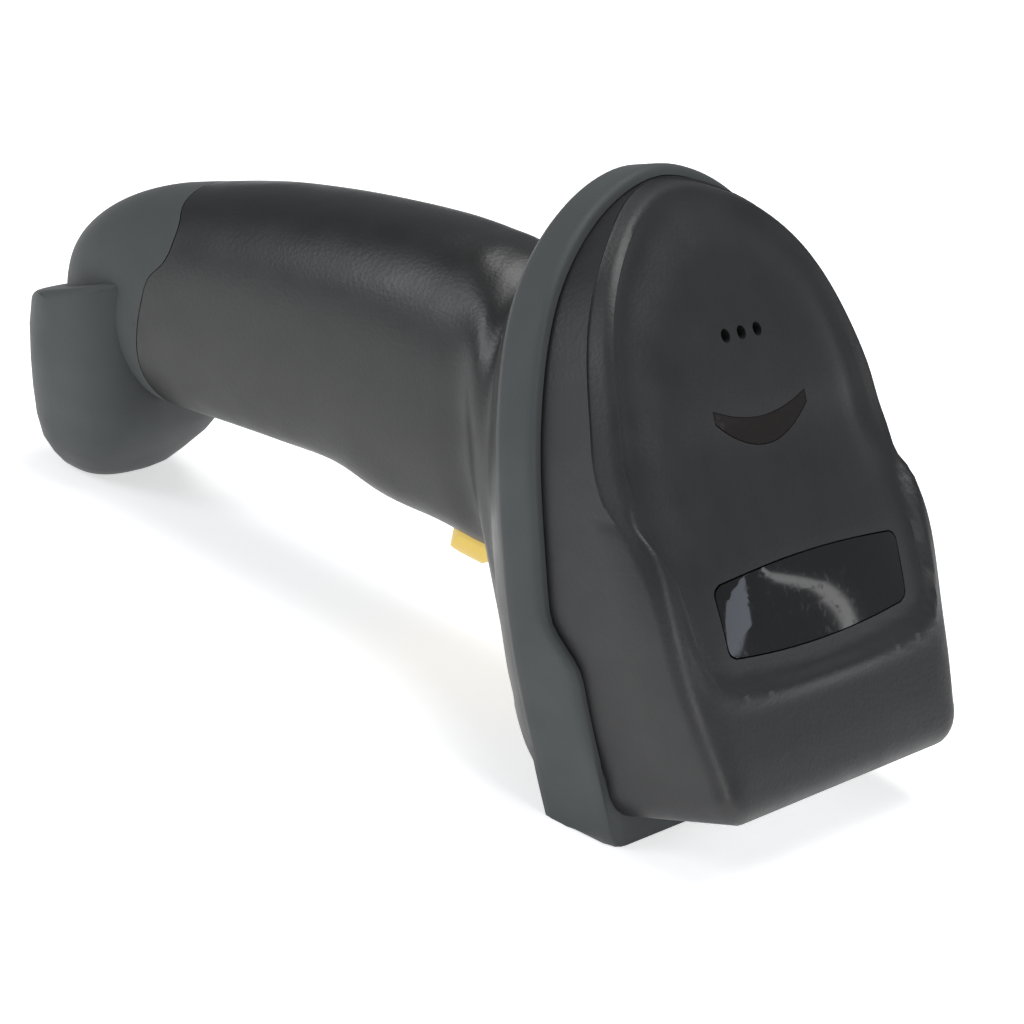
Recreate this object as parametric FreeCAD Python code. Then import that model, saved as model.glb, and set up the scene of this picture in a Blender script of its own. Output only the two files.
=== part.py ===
import FreeCAD, Part
import math
import os

# Cordless handheld barcode scanner, lying on its chin and on the hook of its handle.
# Millimetres, +Z up.  +X is the side of the head that faces the operator, -X runs down the
# handle to its tail, and the model is symmetric about Y = 0.  The origin is the centre of the
# overall length and width, on the surface that the scanner lies on.
#
# The head is drawn in head axes and then leaned over: x is the depth in front of the parting
# plane between the two housings, y is across, z is the height along the head from its nose.

V = FreeCAD.Vector
ALONG_X = V(1, 0, 0)
ALONG_Y = V(0, 1, 0)
ALONG_Z = V(0, 0, 1)

# ---- overall sizes
HEAD_TOP = 89.4              # height of the head above the foot of the parting plane
HEAD_HALF_WIDTH = 37.4
PARTING_TILT = 21.6          # degrees that the parting plane leans back
PARTING_X = 52.7             # where the parting plane starts, on the centre plane
PARTING_Z = 2.3
HANDLE_TAIL_X = -55.0        # where the handle tube ends and the tail cap starts
HANDLE_HALF_WIDTH = 16.0
TAIL_LENGTH = 26.0           # sleeve of the tail cap behind the handle tube
FOOT_END_X = -82.8           # widest sections of the foot swell about 2 mm past this

# ---- walls, gaps and joints
WALL = 2.2
SEAM_GAP = 0.15              # between housings that meet on curved faces
MOVING_GAP = 0.35            # beside parts that move
PIN_CLEARANCE = 0.03         # radial, trigger bore on its pin
SCREW_SHANK = 2.6
SCREW_HEAD = 4.8
SCREW_HEAD_HEIGHT = 1.8

# ---- bumper and housings
BUMPER_DEPTH = 7.3           # front to back, upper part
CHIN_DEPTH = 11.5            # front to back, lower part
CHIN_SHOULDER_LOW = 19.0     # height where the bumper starts to narrow
CHIN_SHOULDER_HIGH = 29.0
BUMPER_PROUD = 1.8           # how far the bumper stands out of the housings
BUMPER_CHAMFER = 1.2
SPLIT_DEPTH = 3.5            # the two housings meet here, under the bumper
HOUSING_FLOOR = 0.6          # underside of the housings inside the bumper
CHIN_FLOOR = -9.0            # lower than the resting plane, which trims the chin flat
NOSE_FLOOR = -3.2            # underside of the nose in front of the chin
NOSE_CORNER = 6.0
ARCH_START = 10.0            # the sides are straight below this height, over every floor
SIDE_LEAN = 0.22             # how fast the straight sides lean in towards the floor
BOWL_DEPTH = 13.0            # rear of the head behind the parting plane
FACE_EDGE_DROP = 3.6         # the face is this much lower beside the head than in its middle
# height and depth of the middle line of the operator's face
FACE_LINE = [(-9.0, 33.4), (-3.0, 32.4), (6.0, 31.1), (17.5, 29.4), (32.0, 27.5), (40.0, 25.1),
             (48.0, 22.5), (64.0, 19.4), (76.0, 16.0), (83.0, 12.8), (92.0, 7.5)]

# ---- things set in the face
PANEL_LOW = 18.0
PANEL_HIGH = 32.5
PANEL_HALF_WIDTH = 23.2
PANEL_THICKNESS = 1.0
SMILE_HEIGHT = 50.5          # middle of the crescent light
SMILE_HALF_WIDTH = 11.6
SMILE_BAND = 4.0
SMILE_SAG = 4.6
LIGHT_GUIDE_CLEARANCE = 0.1
SOUND_HOLE_HEIGHT = 64.0
SOUND_HOLE_PITCH = 4.0
SOUND_HOLE_DIAMETER = 2.1
BEEPER_DIAMETER = 14.0
BEEPER_HEIGHT = 5.0

# ---- scan window and engine, in head axes
WINDOW_DEPTH = 13.2            # front to back
WINDOW_HALF_WIDTH = 23.5
WINDOW_THICKNESS = 1.5
WINDOW_SEAT = 1.4
SEAL_THICKNESS = 1.0
ENGINE_DEPTH_MIN = 9.6
ENGINE_DEPTH_MAX = 23.6
ENGINE_HALF_WIDTH = 15.0
ENGINE_LOW = 6.0
ENGINE_HIGH = 24.0
BARREL_DIAMETER = 11.0
EYE_DIAMETER = 6.0
EYE_OFFSET = 10.5
BRACKET_THICKNESS = 1.2

# ---- main board, in head axes
BOARD_BACK = 4.2
BOARD_THICKNESS = 1.6
BOARD_LOW = 5.0
BOARD_HIGH = 79.0
BOARD_HALF_WIDTH = 21.5
BOARD_TOP_HALF_WIDTH = 15.5
BOARD_NECK = 60.0
BOARD_POSTS = [(17.5, 10.0), (-17.5, 10.0), (11.5, 75.0), (-11.5, 75.0)]
HEAD_SCREWS = [(27.0, 15.0), (-27.0, 15.0), (22.5, 66.0), (-22.5, 66.0)]
POST_DIAMETER = 5.6

# ---- trigger
PIVOT_X = 26.0
PIVOT_Z = 28.4
PIN_DIAMETER = 2.5
PIN_LENGTH = 21.0
TRIGGER_HALF_WIDTH = 6.6
TRIGGER_TIP_X = 4.6
TRIGGER_LOBE_X = 9.2
TRIGGER_LOBE_Z = 16.4
TRIGGER_TOP_Z = 29.6
HUB_RADIUS = 3.2
LUG_THICKNESS = 2.4
SWITCH_X = 11.0
SWITCH_SIZE = 6.0
SWITCH_HEIGHT = 2.8
PLUNGER_DIAMETER = 2.4
CARRIER_Z = 35.6
CARRIER_THICKNESS = 1.4
SWITCH_BOARD_THICKNESS = 1.0
SPRING_X = 17.5
SPRING_RADIUS = 2.2
SPRING_WIRE = 0.5
SPRING_TURNS = 5

# ---- handle and tail
# x, middle height, half height and width factor of the handle tube
HANDLE_LINE = [(-55.0, 37.4, 19.6, 0.97), (-34.0, 41.7, 21.3, 0.98), (-13.0, 44.4, 22.4, 1.0),
               (4.0, 44.6, 23.5, 1.02), (18.0, 45.0, 24.0, 1.1), (34.0, 45.5, 25.0, 1.35)]
CELL_DIAMETER = 18.4
CELL_LENGTH = 50.0
CELL_TAIL_X = -50.0
CELL_TAIL_Z = 39.0
CELL_TILT = 6.5
SOCKET_Z = 27.4
SOCKET_HALF_WIDTH = 4.5
SOCKET_HEIGHT = 3.3
SOCKET_LENGTH = 7.4
CHARGE_BOARD_THICKNESS = 1.2
TAIL_SCREW_Y = 9.5
TAIL_SCREW_Z = 47.0


def box(x0, x1, y0, y1, z0, z1):
    return Part.makeBox(x1 - x0, y1 - y0, z1 - z0, V(x0, y0, z0))


def rod(diameter, length, start, direction):
    return Part.makeCylinder(diameter / 2, length, start, direction)


def in_head(shape):
    """Move a shape from head axes to its place on the scanner."""
    placed = shape.copy()
    placed.Placement = FreeCAD.Placement(V(PARTING_X, 0, PARTING_Z),
                                         FreeCAD.Rotation(ALONG_Y, -PARTING_TILT)).multiply(shape.Placement)
    return placed


def smooth(points, closed=False):
    """One smooth edge through the points."""
    curve = Part.BSplineCurve()
    curve.interpolate(Points=points, PeriodicFlag=closed)
    return curve.toShape()


def extruded(wire, vector):
    return Part.Face(wire).extrude(vector)


def keep_one(shape):
    """The largest solid of a cut, without slivers."""
    solids = sorted(shape.Solids, key=lambda solid: -solid.Volume)
    return solids[0]


# ---------------------------------------------------------------- head outlines

def head_outline(depth, inset, floor):
    """Closed outline of the head at one depth: an arch, sides that lean in, and a flat floor."""
    half = HEAD_HALF_WIDTH - inset
    top = HEAD_TOP - inset
    corner_top = floor + NOSE_CORNER
    # the arch always starts at the same height over a low floor, so stacked outlines share their sides
    arch_start = max(ARCH_START, corner_top + 1)
    widest = max(0.38 * top, arch_start + 8)
    arch_y = half * (0.938 + 0.0042 * (arch_start - ARCH_START))
    side = arch_y - SIDE_LEAN * (arch_start - corner_top)
    right = [(arch_y, arch_start), (0.987 * half, (arch_start + widest) / 2), (half, widest),
             (0.945 * half, 0.63 * top), (0.765 * half, 0.824 * top), (0.43 * half, 0.949 * top)]
    left = [(-y, z) for y, z in reversed(right)]
    arch = smooth([V(depth, y, z) for y, z in right + [(0, top)] + left])
    inner = side - NOSE_CORNER
    bulge = NOSE_CORNER * math.sqrt(0.5)
    flanks = []
    corners = []
    for sign in (-1, 1):
        flank = [V(depth, sign * arch_y, arch_start), V(depth, sign * side, corner_top)]
        middle = V(depth, sign * (inner + bulge), corner_top - bulge)
        ends = [V(depth, sign * side, corner_top), V(depth, sign * inner, floor)]
        if sign > 0:
            flank.reverse()
            ends.reverse()
        flanks.append(Part.makeLine(flank[0], flank[1]))
        corners.append(Part.Arc(ends[0], middle, ends[1]).toShape())
    base = Part.makeLine(V(depth, -inner, floor), V(depth, inner, floor))
    return Part.Wire([arch, flanks[0], corners[0], base, corners[1], flanks[1]])


def head_prism(inset, floor, depth_min, depth_max):
    return extruded(head_outline(depth_min, inset, floor), ALONG_X * (depth_max - depth_min))


def face_block(lowered):
    """Everything behind the operator's face, lowered by a wall where it is needed."""
    reach = HEAD_HALF_WIDTH + 6
    sections = []
    for height, middle in FACE_LINE:
        depth = middle - lowered
        edge = depth - FACE_EDGE_DROP
        corners = [V(edge, -reach, height), V(-30, -reach, height), V(-30, reach, height), V(edge, reach, height)]
        crown = Part.Arc(corners[3], V(depth, 0, height), corners[0]).toShape()
        sides = [Part.makeLine(corners[i], corners[i + 1]) for i in range(3)]
        sections.append(Part.Wire(sides + [crown]))
    return Part.makeLoft(sections, True)


def face_depth(height):
    """Depth of the middle of the face at a height, read between the points of FACE_LINE."""
    for (z0, x0), (z1, x1) in zip(FACE_LINE, FACE_LINE[1:]):
        if z0 <= height <= z1:
            return x0 + (x1 - x0) * (height - z0) / (z1 - z0)
    return FACE_LINE[-1][1]


def head_column(outline_points):
    """A column through the face with the given outline of (y, height) points."""
    wire = Part.makePolygon([V(0, y, z) for y, z in outline_points + outline_points[:1]])
    return extruded(wire, ALONG_X * 45)


def panel_outline(grow):
    """Barrel outline of the dark panel, as (y, height) points on two shallow arcs."""
    half = PANEL_HALF_WIDTH + grow
    low = PANEL_LOW - grow
    high = PANEL_HIGH + grow
    steps = 8
    points = []
    for step in range(steps + 1):
        y = -half + 2 * half * step / steps
        points.append((y, low + 1.6 * (y / half) ** 2))
    for step in range(steps + 1):
        y = half - 2 * half * step / steps
        points.append((y * 1.02, high + 1.2 - 1.2 * (y / half) ** 2))
    return points


def smile_outline(grow):
    """Crescent outline of the status light, as (y, height) points."""
    half = SMILE_HALF_WIDTH + grow
    steps = 10
    lower = []
    upper = []
    for step in range(steps + 1):
        y = -half + 2 * half * step / steps
        share = (y / half) ** 2
        lower.append((y, SMILE_HEIGHT - SMILE_BAND / 2 - grow + (SMILE_SAG + 0.9) * share))
        upper.append((y, SMILE_HEIGHT + SMILE_BAND / 2 - 0.7 + grow + SMILE_SAG * share - 0.9 * share))
    return lower + upper[::-1]


# ---------------------------------------------------------------- head shells

def top_cover():
    inset = BUMPER_PROUD + SEAM_GAP
    chin_front = CHIN_DEPTH + SEAM_GAP
    rim = head_prism(inset, HOUSING_FLOOR, SPLIT_DEPTH, chin_front + WALL)
    nose = head_prism(inset, NOSE_FLOOR, chin_front, 45)
    outer = rim.fuse(nose).common(face_block(0))
    rim_hollow = head_prism(inset + WALL, HOUSING_FLOOR + WALL, SPLIT_DEPTH - 1, chin_front + 2 * WALL)
    nose_hollow = head_prism(inset + WALL, NOSE_FLOOR + WALL, chin_front + WALL, 45)
    hollow = rim_hollow.fuse(nose_hollow).common(face_block(WALL))
    # what stays solid inside: four screw posts and the seat behind the dark panel
    for y, z in HEAD_SCREWS:
        hollow = hollow.cut(rod(POST_DIAMETER, 50, V(SPLIT_DEPTH, y, z), ALONG_X))
    seat = head_column(panel_outline(1.5)).cut(face_block(WALL + PANEL_THICKNESS))
    shell = outer.cut(hollow.cut(seat))
    shell = shell.cut(head_column(panel_outline(SEAM_GAP)).cut(face_block(PANEL_THICKNESS)))
    shell = shell.cut(head_column(smile_outline(LIGHT_GUIDE_CLEARANCE)))
    for index in (-1, 0, 1):
        start = V(0, index * SOUND_HOLE_PITCH, SOUND_HOLE_HEIGHT)
        shell = shell.cut(rod(SOUND_HOLE_DIAMETER, 45, start, ALONG_X))
    opening = box(window_rear() + WINDOW_SEAT, window_front() - WINDOW_SEAT,
                  -WINDOW_HALF_WIDTH + WINDOW_SEAT, WINDOW_HALF_WIDTH - WINDOW_SEAT,
                  NOSE_FLOOR - 2, NOSE_FLOOR + WALL + 0.1)
    shell = shell.cut(opening)
    for y, z in HEAD_SCREWS:
        shell = shell.cut(rod(SCREW_SHANK, 11, V(SPLIT_DEPTH - 1, y, z), ALONG_X))
    return in_head(keep_one(shell))


def bumper_ring():
    outer = head_prism(0, CHIN_FLOOR, 0, CHIN_DEPTH)
    edge_loop = [edge for edge in outer.Edges if edge.BoundBox.XMax < 0.01]
    outer = outer.makeChamfer(BUMPER_CHAMFER, edge_loop)
    front_loop = [edge for edge in outer.Edges if edge.BoundBox.XMin > CHIN_DEPTH - 0.01]
    outer = outer.makeFillet(BUMPER_CHAMFER, front_loop)
    # above the chin the bumper narrows along an S curve
    step = smooth([V(CHIN_DEPTH, -60, CHIN_SHOULDER_LOW),
                   V(CHIN_DEPTH - 0.7, -60, CHIN_SHOULDER_LOW + 2.5),
                   V(BUMPER_DEPTH + 0.7, -60, CHIN_SHOULDER_HIGH - 2.5),
                   V(BUMPER_DEPTH, -60, CHIN_SHOULDER_HIGH)])
    top = HEAD_TOP + 5
    rest = Part.makePolygon([V(BUMPER_DEPTH, -60, CHIN_SHOULDER_HIGH), V(BUMPER_DEPTH, -60, top),
                             V(CHIN_DEPTH + 2, -60, top), V(CHIN_DEPTH + 2, -60, CHIN_SHOULDER_LOW),
                             V(CHIN_DEPTH, -60, CHIN_SHOULDER_LOW)])
    outer = outer.cut(extruded(Part.Wire([step] + rest.Edges), ALONG_Y * 120))
    ring = outer.cut(head_prism(BUMPER_PROUD, HOUSING_FLOOR, -1, CHIN_DEPTH + 1))
    placed = in_head(ring)
    return keep_one(placed.cut(box(0, 100, -60, 60, -20, 0)))


def handle_section(x, middle, half_height, width_factor, inset):
    """Rounded, slightly square section of the handle tube."""
    half_width = HANDLE_HALF_WIDTH * width_factor - inset
    half = half_height - inset
    power = 2 / 2.35
    points = []
    for step in range(16):
        angle = 2 * math.pi * (step + 0.5) / 16
        cosine = math.cos(angle)
        sine = math.sin(angle)
        y = half_width * math.copysign(abs(cosine) ** power, cosine)
        z = middle + half * math.copysign(abs(sine) ** power, sine)
        points.append(V(x, y, z))
    return Part.Wire([smooth(points, True)])


def handle_tube(inset):
    first = HANDLE_LINE[0]
    sections = [handle_section(x, middle, half, factor, inset) for x, middle, half, factor in HANDLE_LINE]
    tube = Part.makeLoft(sections, True)
    if inset:
        tail = handle_section(first[0], first[1], first[2], first[3], inset)
        tube = tube.fuse(extruded(tail, ALONG_X * -1))
    return tube


def bowl(inset, depth_max, back_wall):
    """Rear of the head: outlines that shrink behind the parting plane."""
    stages = [(depth_max, 1.95, HOUSING_FLOOR), (-2.0, 2.3, HOUSING_FLOOR + 0.4),
              (-0.62 * BOWL_DEPTH, 5.0, HOUSING_FLOOR + 4), (back_wall - BOWL_DEPTH, 12.5, HOUSING_FLOOR + 12)]
    sections = [head_outline(depth, step + inset, floor + inset) for depth, step, floor in stages]
    return in_head(Part.makeLoft(sections, True, True))


def block_pair(near, far, x0, x1, z0, z1):
    """The same block on both sides of the centre plane, from near to far across."""
    return [box(x0, x1, near, far, z0, z1), box(x0, x1, -far, -near, z0, z1)]


def handle_body():
    front = in_head(box(-1, 80, -80, 80, -60, 140))
    outer = bowl(0, SPLIT_DEPTH - SEAM_GAP, 0).fuse(handle_tube(0).cut(front))
    hollow = bowl(WALL, SPLIT_DEPTH + 1, WALL).fuse(handle_tube(WALL))
    # what stays solid inside: posts for screws and board, lugs for the pin, rails for the carrier
    inside = []
    for y, z in HEAD_SCREWS:
        inside.append(in_head(rod(POST_DIAMETER + 1.6, 60, V(-40, y, z), ALONG_X)))
    for y, z in BOARD_POSTS:
        inside.append(in_head(rod(POST_DIAMETER, BOARD_BACK + 40, V(-40, y, z), ALONG_X)))
    lug = TRIGGER_HALF_WIDTH + MOVING_GAP
    inside += block_pair(lug, lug + LUG_THICKNESS, PIVOT_X - 4, PIVOT_X + 3.6, 5, PIVOT_Z + 4)
    inside += block_pair(lug + 3, 40, TRIGGER_TIP_X, PIVOT_X - 4, CARRIER_Z - 2, CARRIER_Z)
    for sign in (-1, 1):
        start = V(HANDLE_TAIL_X - 5, sign * TAIL_SCREW_Y, TAIL_SCREW_Z)
        inside.append(rod(POST_DIAMETER, 14, start, ALONG_X))
    for piece in inside:
        hollow = hollow.cut(piece)
    shell = outer.cut(hollow)
    # slot for the trigger in the underside of the handle, and every screw hole
    tools = [box(TRIGGER_TIP_X - MOVING_GAP, PIVOT_X + HUB_RADIUS + MOVING_GAP, -lug, lug, 5, PIVOT_Z + 3),
             rod(PIN_DIAMETER, PIN_LENGTH, V(PIVOT_X, -PIN_LENGTH / 2, PIVOT_Z), ALONG_Y)]
    for y, z in HEAD_SCREWS:
        tools.append(in_head(rod(SCREW_SHANK + 0.4, 45, V(-30, y, z), ALONG_X)))
        tools.append(in_head(rod(SCREW_HEAD + 0.4, 25, V(head_screw_seat() - 25, y, z), ALONG_X)))
    for y, z in BOARD_POSTS:
        tools.append(in_head(rod(2.0, 7, V(BOARD_BACK - 6, y, z), ALONG_X)))
    for sign in (-1, 1):
        tools.append(rod(SCREW_SHANK, 10, V(HANDLE_TAIL_X - 1, sign * TAIL_SCREW_Y, TAIL_SCREW_Z), ALONG_X))
    for tool in tools:
        shell = shell.cut(tool)
    return keep_one(shell)


# ---------------------------------------------------------------- tail cap

def tail_block(inset):
    """Rounded end of the handle, as sections that shrink towards the tail."""
    x, middle, half, factor = HANDLE_LINE[0]
    reach = TAIL_LENGTH - inset
    stages = [(0.0, 1.0, 0.0), (0.42, 0.985, -2.6), (0.76, 0.90, -4.4), (0.93, 0.76, -5.4), (1.0, 0.58, -5.9)]
    sections = [handle_section(x - share * reach, middle + lift, half * size, factor * size, inset)
                for share, size, lift in stages]
    return Part.makeLoft(sections, True)


def foot_section(z, front, back, half_width):
    """Plan outline of the foot at one height, round at the tail and at its corners."""
    length = front - back
    points = [V(front, -0.55 * half_width, z), V(front - 0.22 * length, -half_width, z),
              V(front - 0.58 * length, -0.93 * half_width, z), V(back, -0.42 * half_width, z)]
    points = points + [V(point.x, -point.y, z) for point in reversed(points)]
    return Part.Wire([smooth(points, True)])


def foot_block():
    """Foot that stands out round the tail and hooks down under the handle."""
    reach = HANDLE_TAIL_X - FOOT_END_X
    half = HANDLE_HALF_WIDTH
    # height, then where the foot starts and ends as shares of its reach, then its width factor
    stages = [(0.0, 0.43, 0.57, 0.42), (2.2, 0.26, 0.68, 0.72), (8.0, 0.06, 0.85, 0.98),
              (18.0, -0.03, 0.97, 1.17), (28.0, 0.03, 1.0, 1.22), (37.0, 0.10, 0.91, 1.2)]
    sections = [foot_section(z, HANDLE_TAIL_X - front * reach, HANDLE_TAIL_X - back * reach, factor * half)
                for z, front, back, factor in stages]
    return Part.makeLoft(sections, True)


def tail_cap():
    outer = tail_block(0).fuse(foot_block())
    # the cap ends where the handle starts, and the hook stays clear of it
    outer = outer.cut(box(HANDLE_TAIL_X - SEAM_GAP, 20, -40, 40, -5, 80))
    hollow = tail_block(WALL)
    hollow = hollow.cut(box(FOOT_END_X, HANDLE_TAIL_X - 4, -12, 12, -5, SOCKET_Z - CHARGE_BOARD_THICKNESS))
    for sign in (-1, 1):
        hollow = hollow.cut(rod(POST_DIAMETER, 60, V(HANDLE_TAIL_X, sign * TAIL_SCREW_Y, TAIL_SCREW_Z), -ALONG_X))
    cap = outer.cut(hollow)
    tools = [box(FOOT_END_X - 2, FOOT_END_X + 8, -SOCKET_HALF_WIDTH - 0.2, SOCKET_HALF_WIDTH + 0.2,
                 SOCKET_Z - 0.2, SOCKET_Z + SOCKET_HEIGHT + 0.2)]
    for sign in (-1, 1):
        tools.append(rod(SCREW_SHANK + 0.4, 60, V(HANDLE_TAIL_X + 1, sign * TAIL_SCREW_Y, TAIL_SCREW_Z), -ALONG_X))
        tools.append(rod(SCREW_HEAD + 0.4, 30, V(tail_screw_seat(), sign * TAIL_SCREW_Y, TAIL_SCREW_Z), -ALONG_X))
    for tool in tools:
        cap = cap.cut(tool)
    return keep_one(cap)


# ---------------------------------------------------------------- screws

def head_screw_seat():
    return -4.0


def tail_screw_seat():
    return HANDLE_TAIL_X - 4.5


def screw(start, direction, length, shank, head, head_height):
    """Pan-head screw: its head stands on start and its shank runs along direction."""
    body = rod(shank, length, start, direction)
    cap = rod(head, head_height, start - direction * head_height, direction)
    slot = rod(head * 0.45, head_height * 0.6, start - direction * (head_height + 0.01), direction)
    return body.fuse(cap).cut(slot)


def head_screws():
    seat = head_screw_seat()
    return [in_head(screw(V(seat, y, z), ALONG_X, SPLIT_DEPTH - seat + 8, SCREW_SHANK, SCREW_HEAD,
                          SCREW_HEAD_HEIGHT)) for y, z in HEAD_SCREWS]


def board_screws():
    seat = BOARD_BACK + BOARD_THICKNESS
    return [in_head(screw(V(seat, y, z), -ALONG_X, 6.5, 2.0, 3.8, 1.2)) for y, z in BOARD_POSTS]


def tail_screws():
    seat = tail_screw_seat()
    length = HANDLE_TAIL_X - seat + 7
    return [screw(V(seat, sign * TAIL_SCREW_Y, TAIL_SCREW_Z), ALONG_X, length, SCREW_SHANK, SCREW_HEAD,
                  SCREW_HEAD_HEIGHT) for sign in (-1, 1)]


def engine_screws():
    start = ENGINE_DEPTH_MIN - BRACKET_THICKNESS
    return [in_head(screw(V(start, sign * 11.5, ENGINE_HIGH - 4), ALONG_X, 5.5, 1.8, 3.4, 0.9))
            for sign in (-1, 1)]


# ---------------------------------------------------------------- face pieces

def indicator_panel():
    plate = head_column(panel_outline(0)).common(face_block(0.15))
    return in_head(keep_one(plate.cut(face_block(PANEL_THICKNESS))))


def status_lens():
    back = face_depth(SMILE_HEIGHT) - 7
    guide = head_column(smile_outline(0)).common(face_block(0.1)).cut(box(-5, back, -40, 40, 0, 90))
    stem_start = BOARD_BACK + BOARD_THICKNESS + 2.0
    stem = box(stem_start, back + 0.5, -7, 7, SMILE_HEIGHT - 1.2, SMILE_HEIGHT + 1.0)
    return in_head(keep_one(guide.fuse(stem)))


def status_leds():
    front = BOARD_BACK + BOARD_THICKNESS
    return [in_head(box(front, front + 0.9, y - 0.9, y + 0.9, SMILE_HEIGHT - 0.8, SMILE_HEIGHT + 0.6))
            for y in (-5, 0, 5)]


def beeper_front():
    return face_depth(SOUND_HOLE_HEIGHT) - WALL - 2.0


def beeper():
    body = rod(BEEPER_DIAMETER, BEEPER_HEIGHT, V(beeper_front() - BEEPER_HEIGHT, 0, SOUND_HOLE_HEIGHT), ALONG_X)
    return in_head(body.cut(rod(2.4, 1.5, V(beeper_front() - 1.5, 0, SOUND_HOLE_HEIGHT), ALONG_X)))


def beeper_seal():
    ring = rod(BEEPER_DIAMETER + 1, 8, V(beeper_front(), 0, SOUND_HOLE_HEIGHT), ALONG_X)
    ring = ring.cut(rod(BEEPER_DIAMETER - 3, 9, V(beeper_front(), 0, SOUND_HOLE_HEIGHT), ALONG_X))
    return in_head(ring.common(face_block(WALL)))


# ---------------------------------------------------------------- scan window and engine

def window_floor():
    return NOSE_FLOOR + WALL


def window_rear():
    """The window stands just clear of the wall behind it."""
    return CHIN_DEPTH + WALL + 2 * SEAM_GAP


def window_front():
    return window_rear() + WINDOW_DEPTH


def scan_window():
    return in_head(box(window_rear(), window_front(), -WINDOW_HALF_WIDTH, WINDOW_HALF_WIDTH,
                       window_floor(), window_floor() + WINDOW_THICKNESS))


def window_seal():
    low = window_floor() + WINDOW_THICKNESS
    frame = box(window_rear(), window_front(), -WINDOW_HALF_WIDTH, WINDOW_HALF_WIDTH, low, low + SEAL_THICKNESS)
    margin = 2.0
    return in_head(frame.cut(box(window_rear() + margin, window_front() - margin, -WINDOW_HALF_WIDTH + margin,
                                 WINDOW_HALF_WIDTH - margin, low - 1, low + SEAL_THICKNESS + 1)))


def engine_middle():
    return (ENGINE_DEPTH_MIN + ENGINE_DEPTH_MAX) / 2


def engine_chassis():
    block = box(ENGINE_DEPTH_MIN, ENGINE_DEPTH_MAX, -ENGINE_HALF_WIDTH, ENGINE_HALF_WIDTH, ENGINE_LOW, ENGINE_HIGH)
    block = block.cut(rod(BARREL_DIAMETER, 11, V(engine_middle(), 0, ENGINE_LOW - 1), ALONG_Z))
    block = block.cut(box(engine_middle() - 5, engine_middle() + 5, -5, 5, ENGINE_LOW + 9, ENGINE_HIGH + 1))
    for sign in (-1, 1):
        block = block.cut(rod(EYE_DIAMETER, 7, V(engine_middle(), sign * EYE_OFFSET, ENGINE_LOW - 1), ALONG_Z))
        block = block.cut(rod(1.8, 6, V(ENGINE_DEPTH_MIN - 1, sign * 11.5, ENGINE_HIGH - 4), ALONG_X))
    return in_head(block)


def lens_barrel():
    tube = rod(BARREL_DIAMETER, 9, V(engine_middle(), 0, ENGINE_LOW), ALONG_Z)
    tube = tube.cut(rod(BARREL_DIAMETER - 2.4, 11, V(engine_middle(), 0, ENGINE_LOW - 1), ALONG_Z))
    return in_head(tube)


def imager_lens():
    radius = (BARREL_DIAMETER - 2.4) / 2
    disc = Part.makeCylinder(radius, 2.6, V(engine_middle(), 0, ENGINE_LOW + 1.5), ALONG_Z)
    return in_head(disc.common(Part.makeSphere(9, V(engine_middle(), 0, ENGINE_LOW + 1.5 + 9))))


def illumination_lenses():
    lenses = []
    for sign in (-1, 1):
        disc = rod(EYE_DIAMETER, 2.4, V(engine_middle(), sign * EYE_OFFSET, ENGINE_LOW), ALONG_Z)
        lenses.append(in_head(disc.common(Part.makeSphere(5, V(engine_middle(), sign * EYE_OFFSET, ENGINE_LOW + 5)))))
    return lenses


def illumination_leds():
    return [in_head(box(engine_middle() - 1.4, engine_middle() + 1.4, sign * EYE_OFFSET - 1.4,
                        sign * EYE_OFFSET + 1.4, ENGINE_LOW + 4.6, ENGINE_LOW + 6)) for sign in (-1, 1)]


def imager_board():
    return in_head(box(ENGINE_DEPTH_MIN, ENGINE_DEPTH_MAX, -ENGINE_HALF_WIDTH, ENGINE_HALF_WIDTH,
                       ENGINE_HIGH, ENGINE_HIGH + 1.0))


def image_sensor():
    return in_head(box(engine_middle() - 4, engine_middle() + 4, -4, 4, ENGINE_HIGH - 1.4, ENGINE_HIGH))


def engine_bracket():
    """Folded plate that stands on the main board and holds the engine in front of it."""
    back = ENGINE_DEPTH_MIN - BRACKET_THICKNESS
    plate = box(back, ENGINE_DEPTH_MIN, -ENGINE_HALF_WIDTH - 3, ENGINE_HALF_WIDTH + 3, ENGINE_LOW, ENGINE_HIGH + 3)
    for sign in (-1, 1):
        leg_start = sign * (ENGINE_HALF_WIDTH + 1.8)
        leg = box(BOARD_BACK + BOARD_THICKNESS, ENGINE_DEPTH_MIN, min(leg_start, leg_start + sign * 1.2),
                  max(leg_start, leg_start + sign * 1.2), ENGINE_HIGH - 6, ENGINE_HIGH + 3)
        plate = plate.fuse(leg)
        plate = plate.cut(rod(1.8, 4, V(back - 1, sign * 11.5, ENGINE_HIGH - 4), ALONG_X))
    return in_head(plate)


def engine_flex():
    """Flat cable from the imager board over the bracket to the main board."""
    low = ENGINE_HIGH + 1.0
    reach = engine_middle()
    front = BOARD_BACK + BOARD_THICKNESS + 1.0
    upper = [V(reach - 0.3, 0, low), V(reach - 0.3, 0, low + 4.9), V(front, 0, low + 7.7), V(front, 0, low + 8.0),
             V(reach, 0, low + 5.2), V(reach, 0, low)]
    wire = Part.makePolygon([V(p.x, -5, p.z) for p in upper + upper[:1]])
    return in_head(extruded(wire, ALONG_Y * 10))


# ---------------------------------------------------------------- electronics in the head

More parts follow.
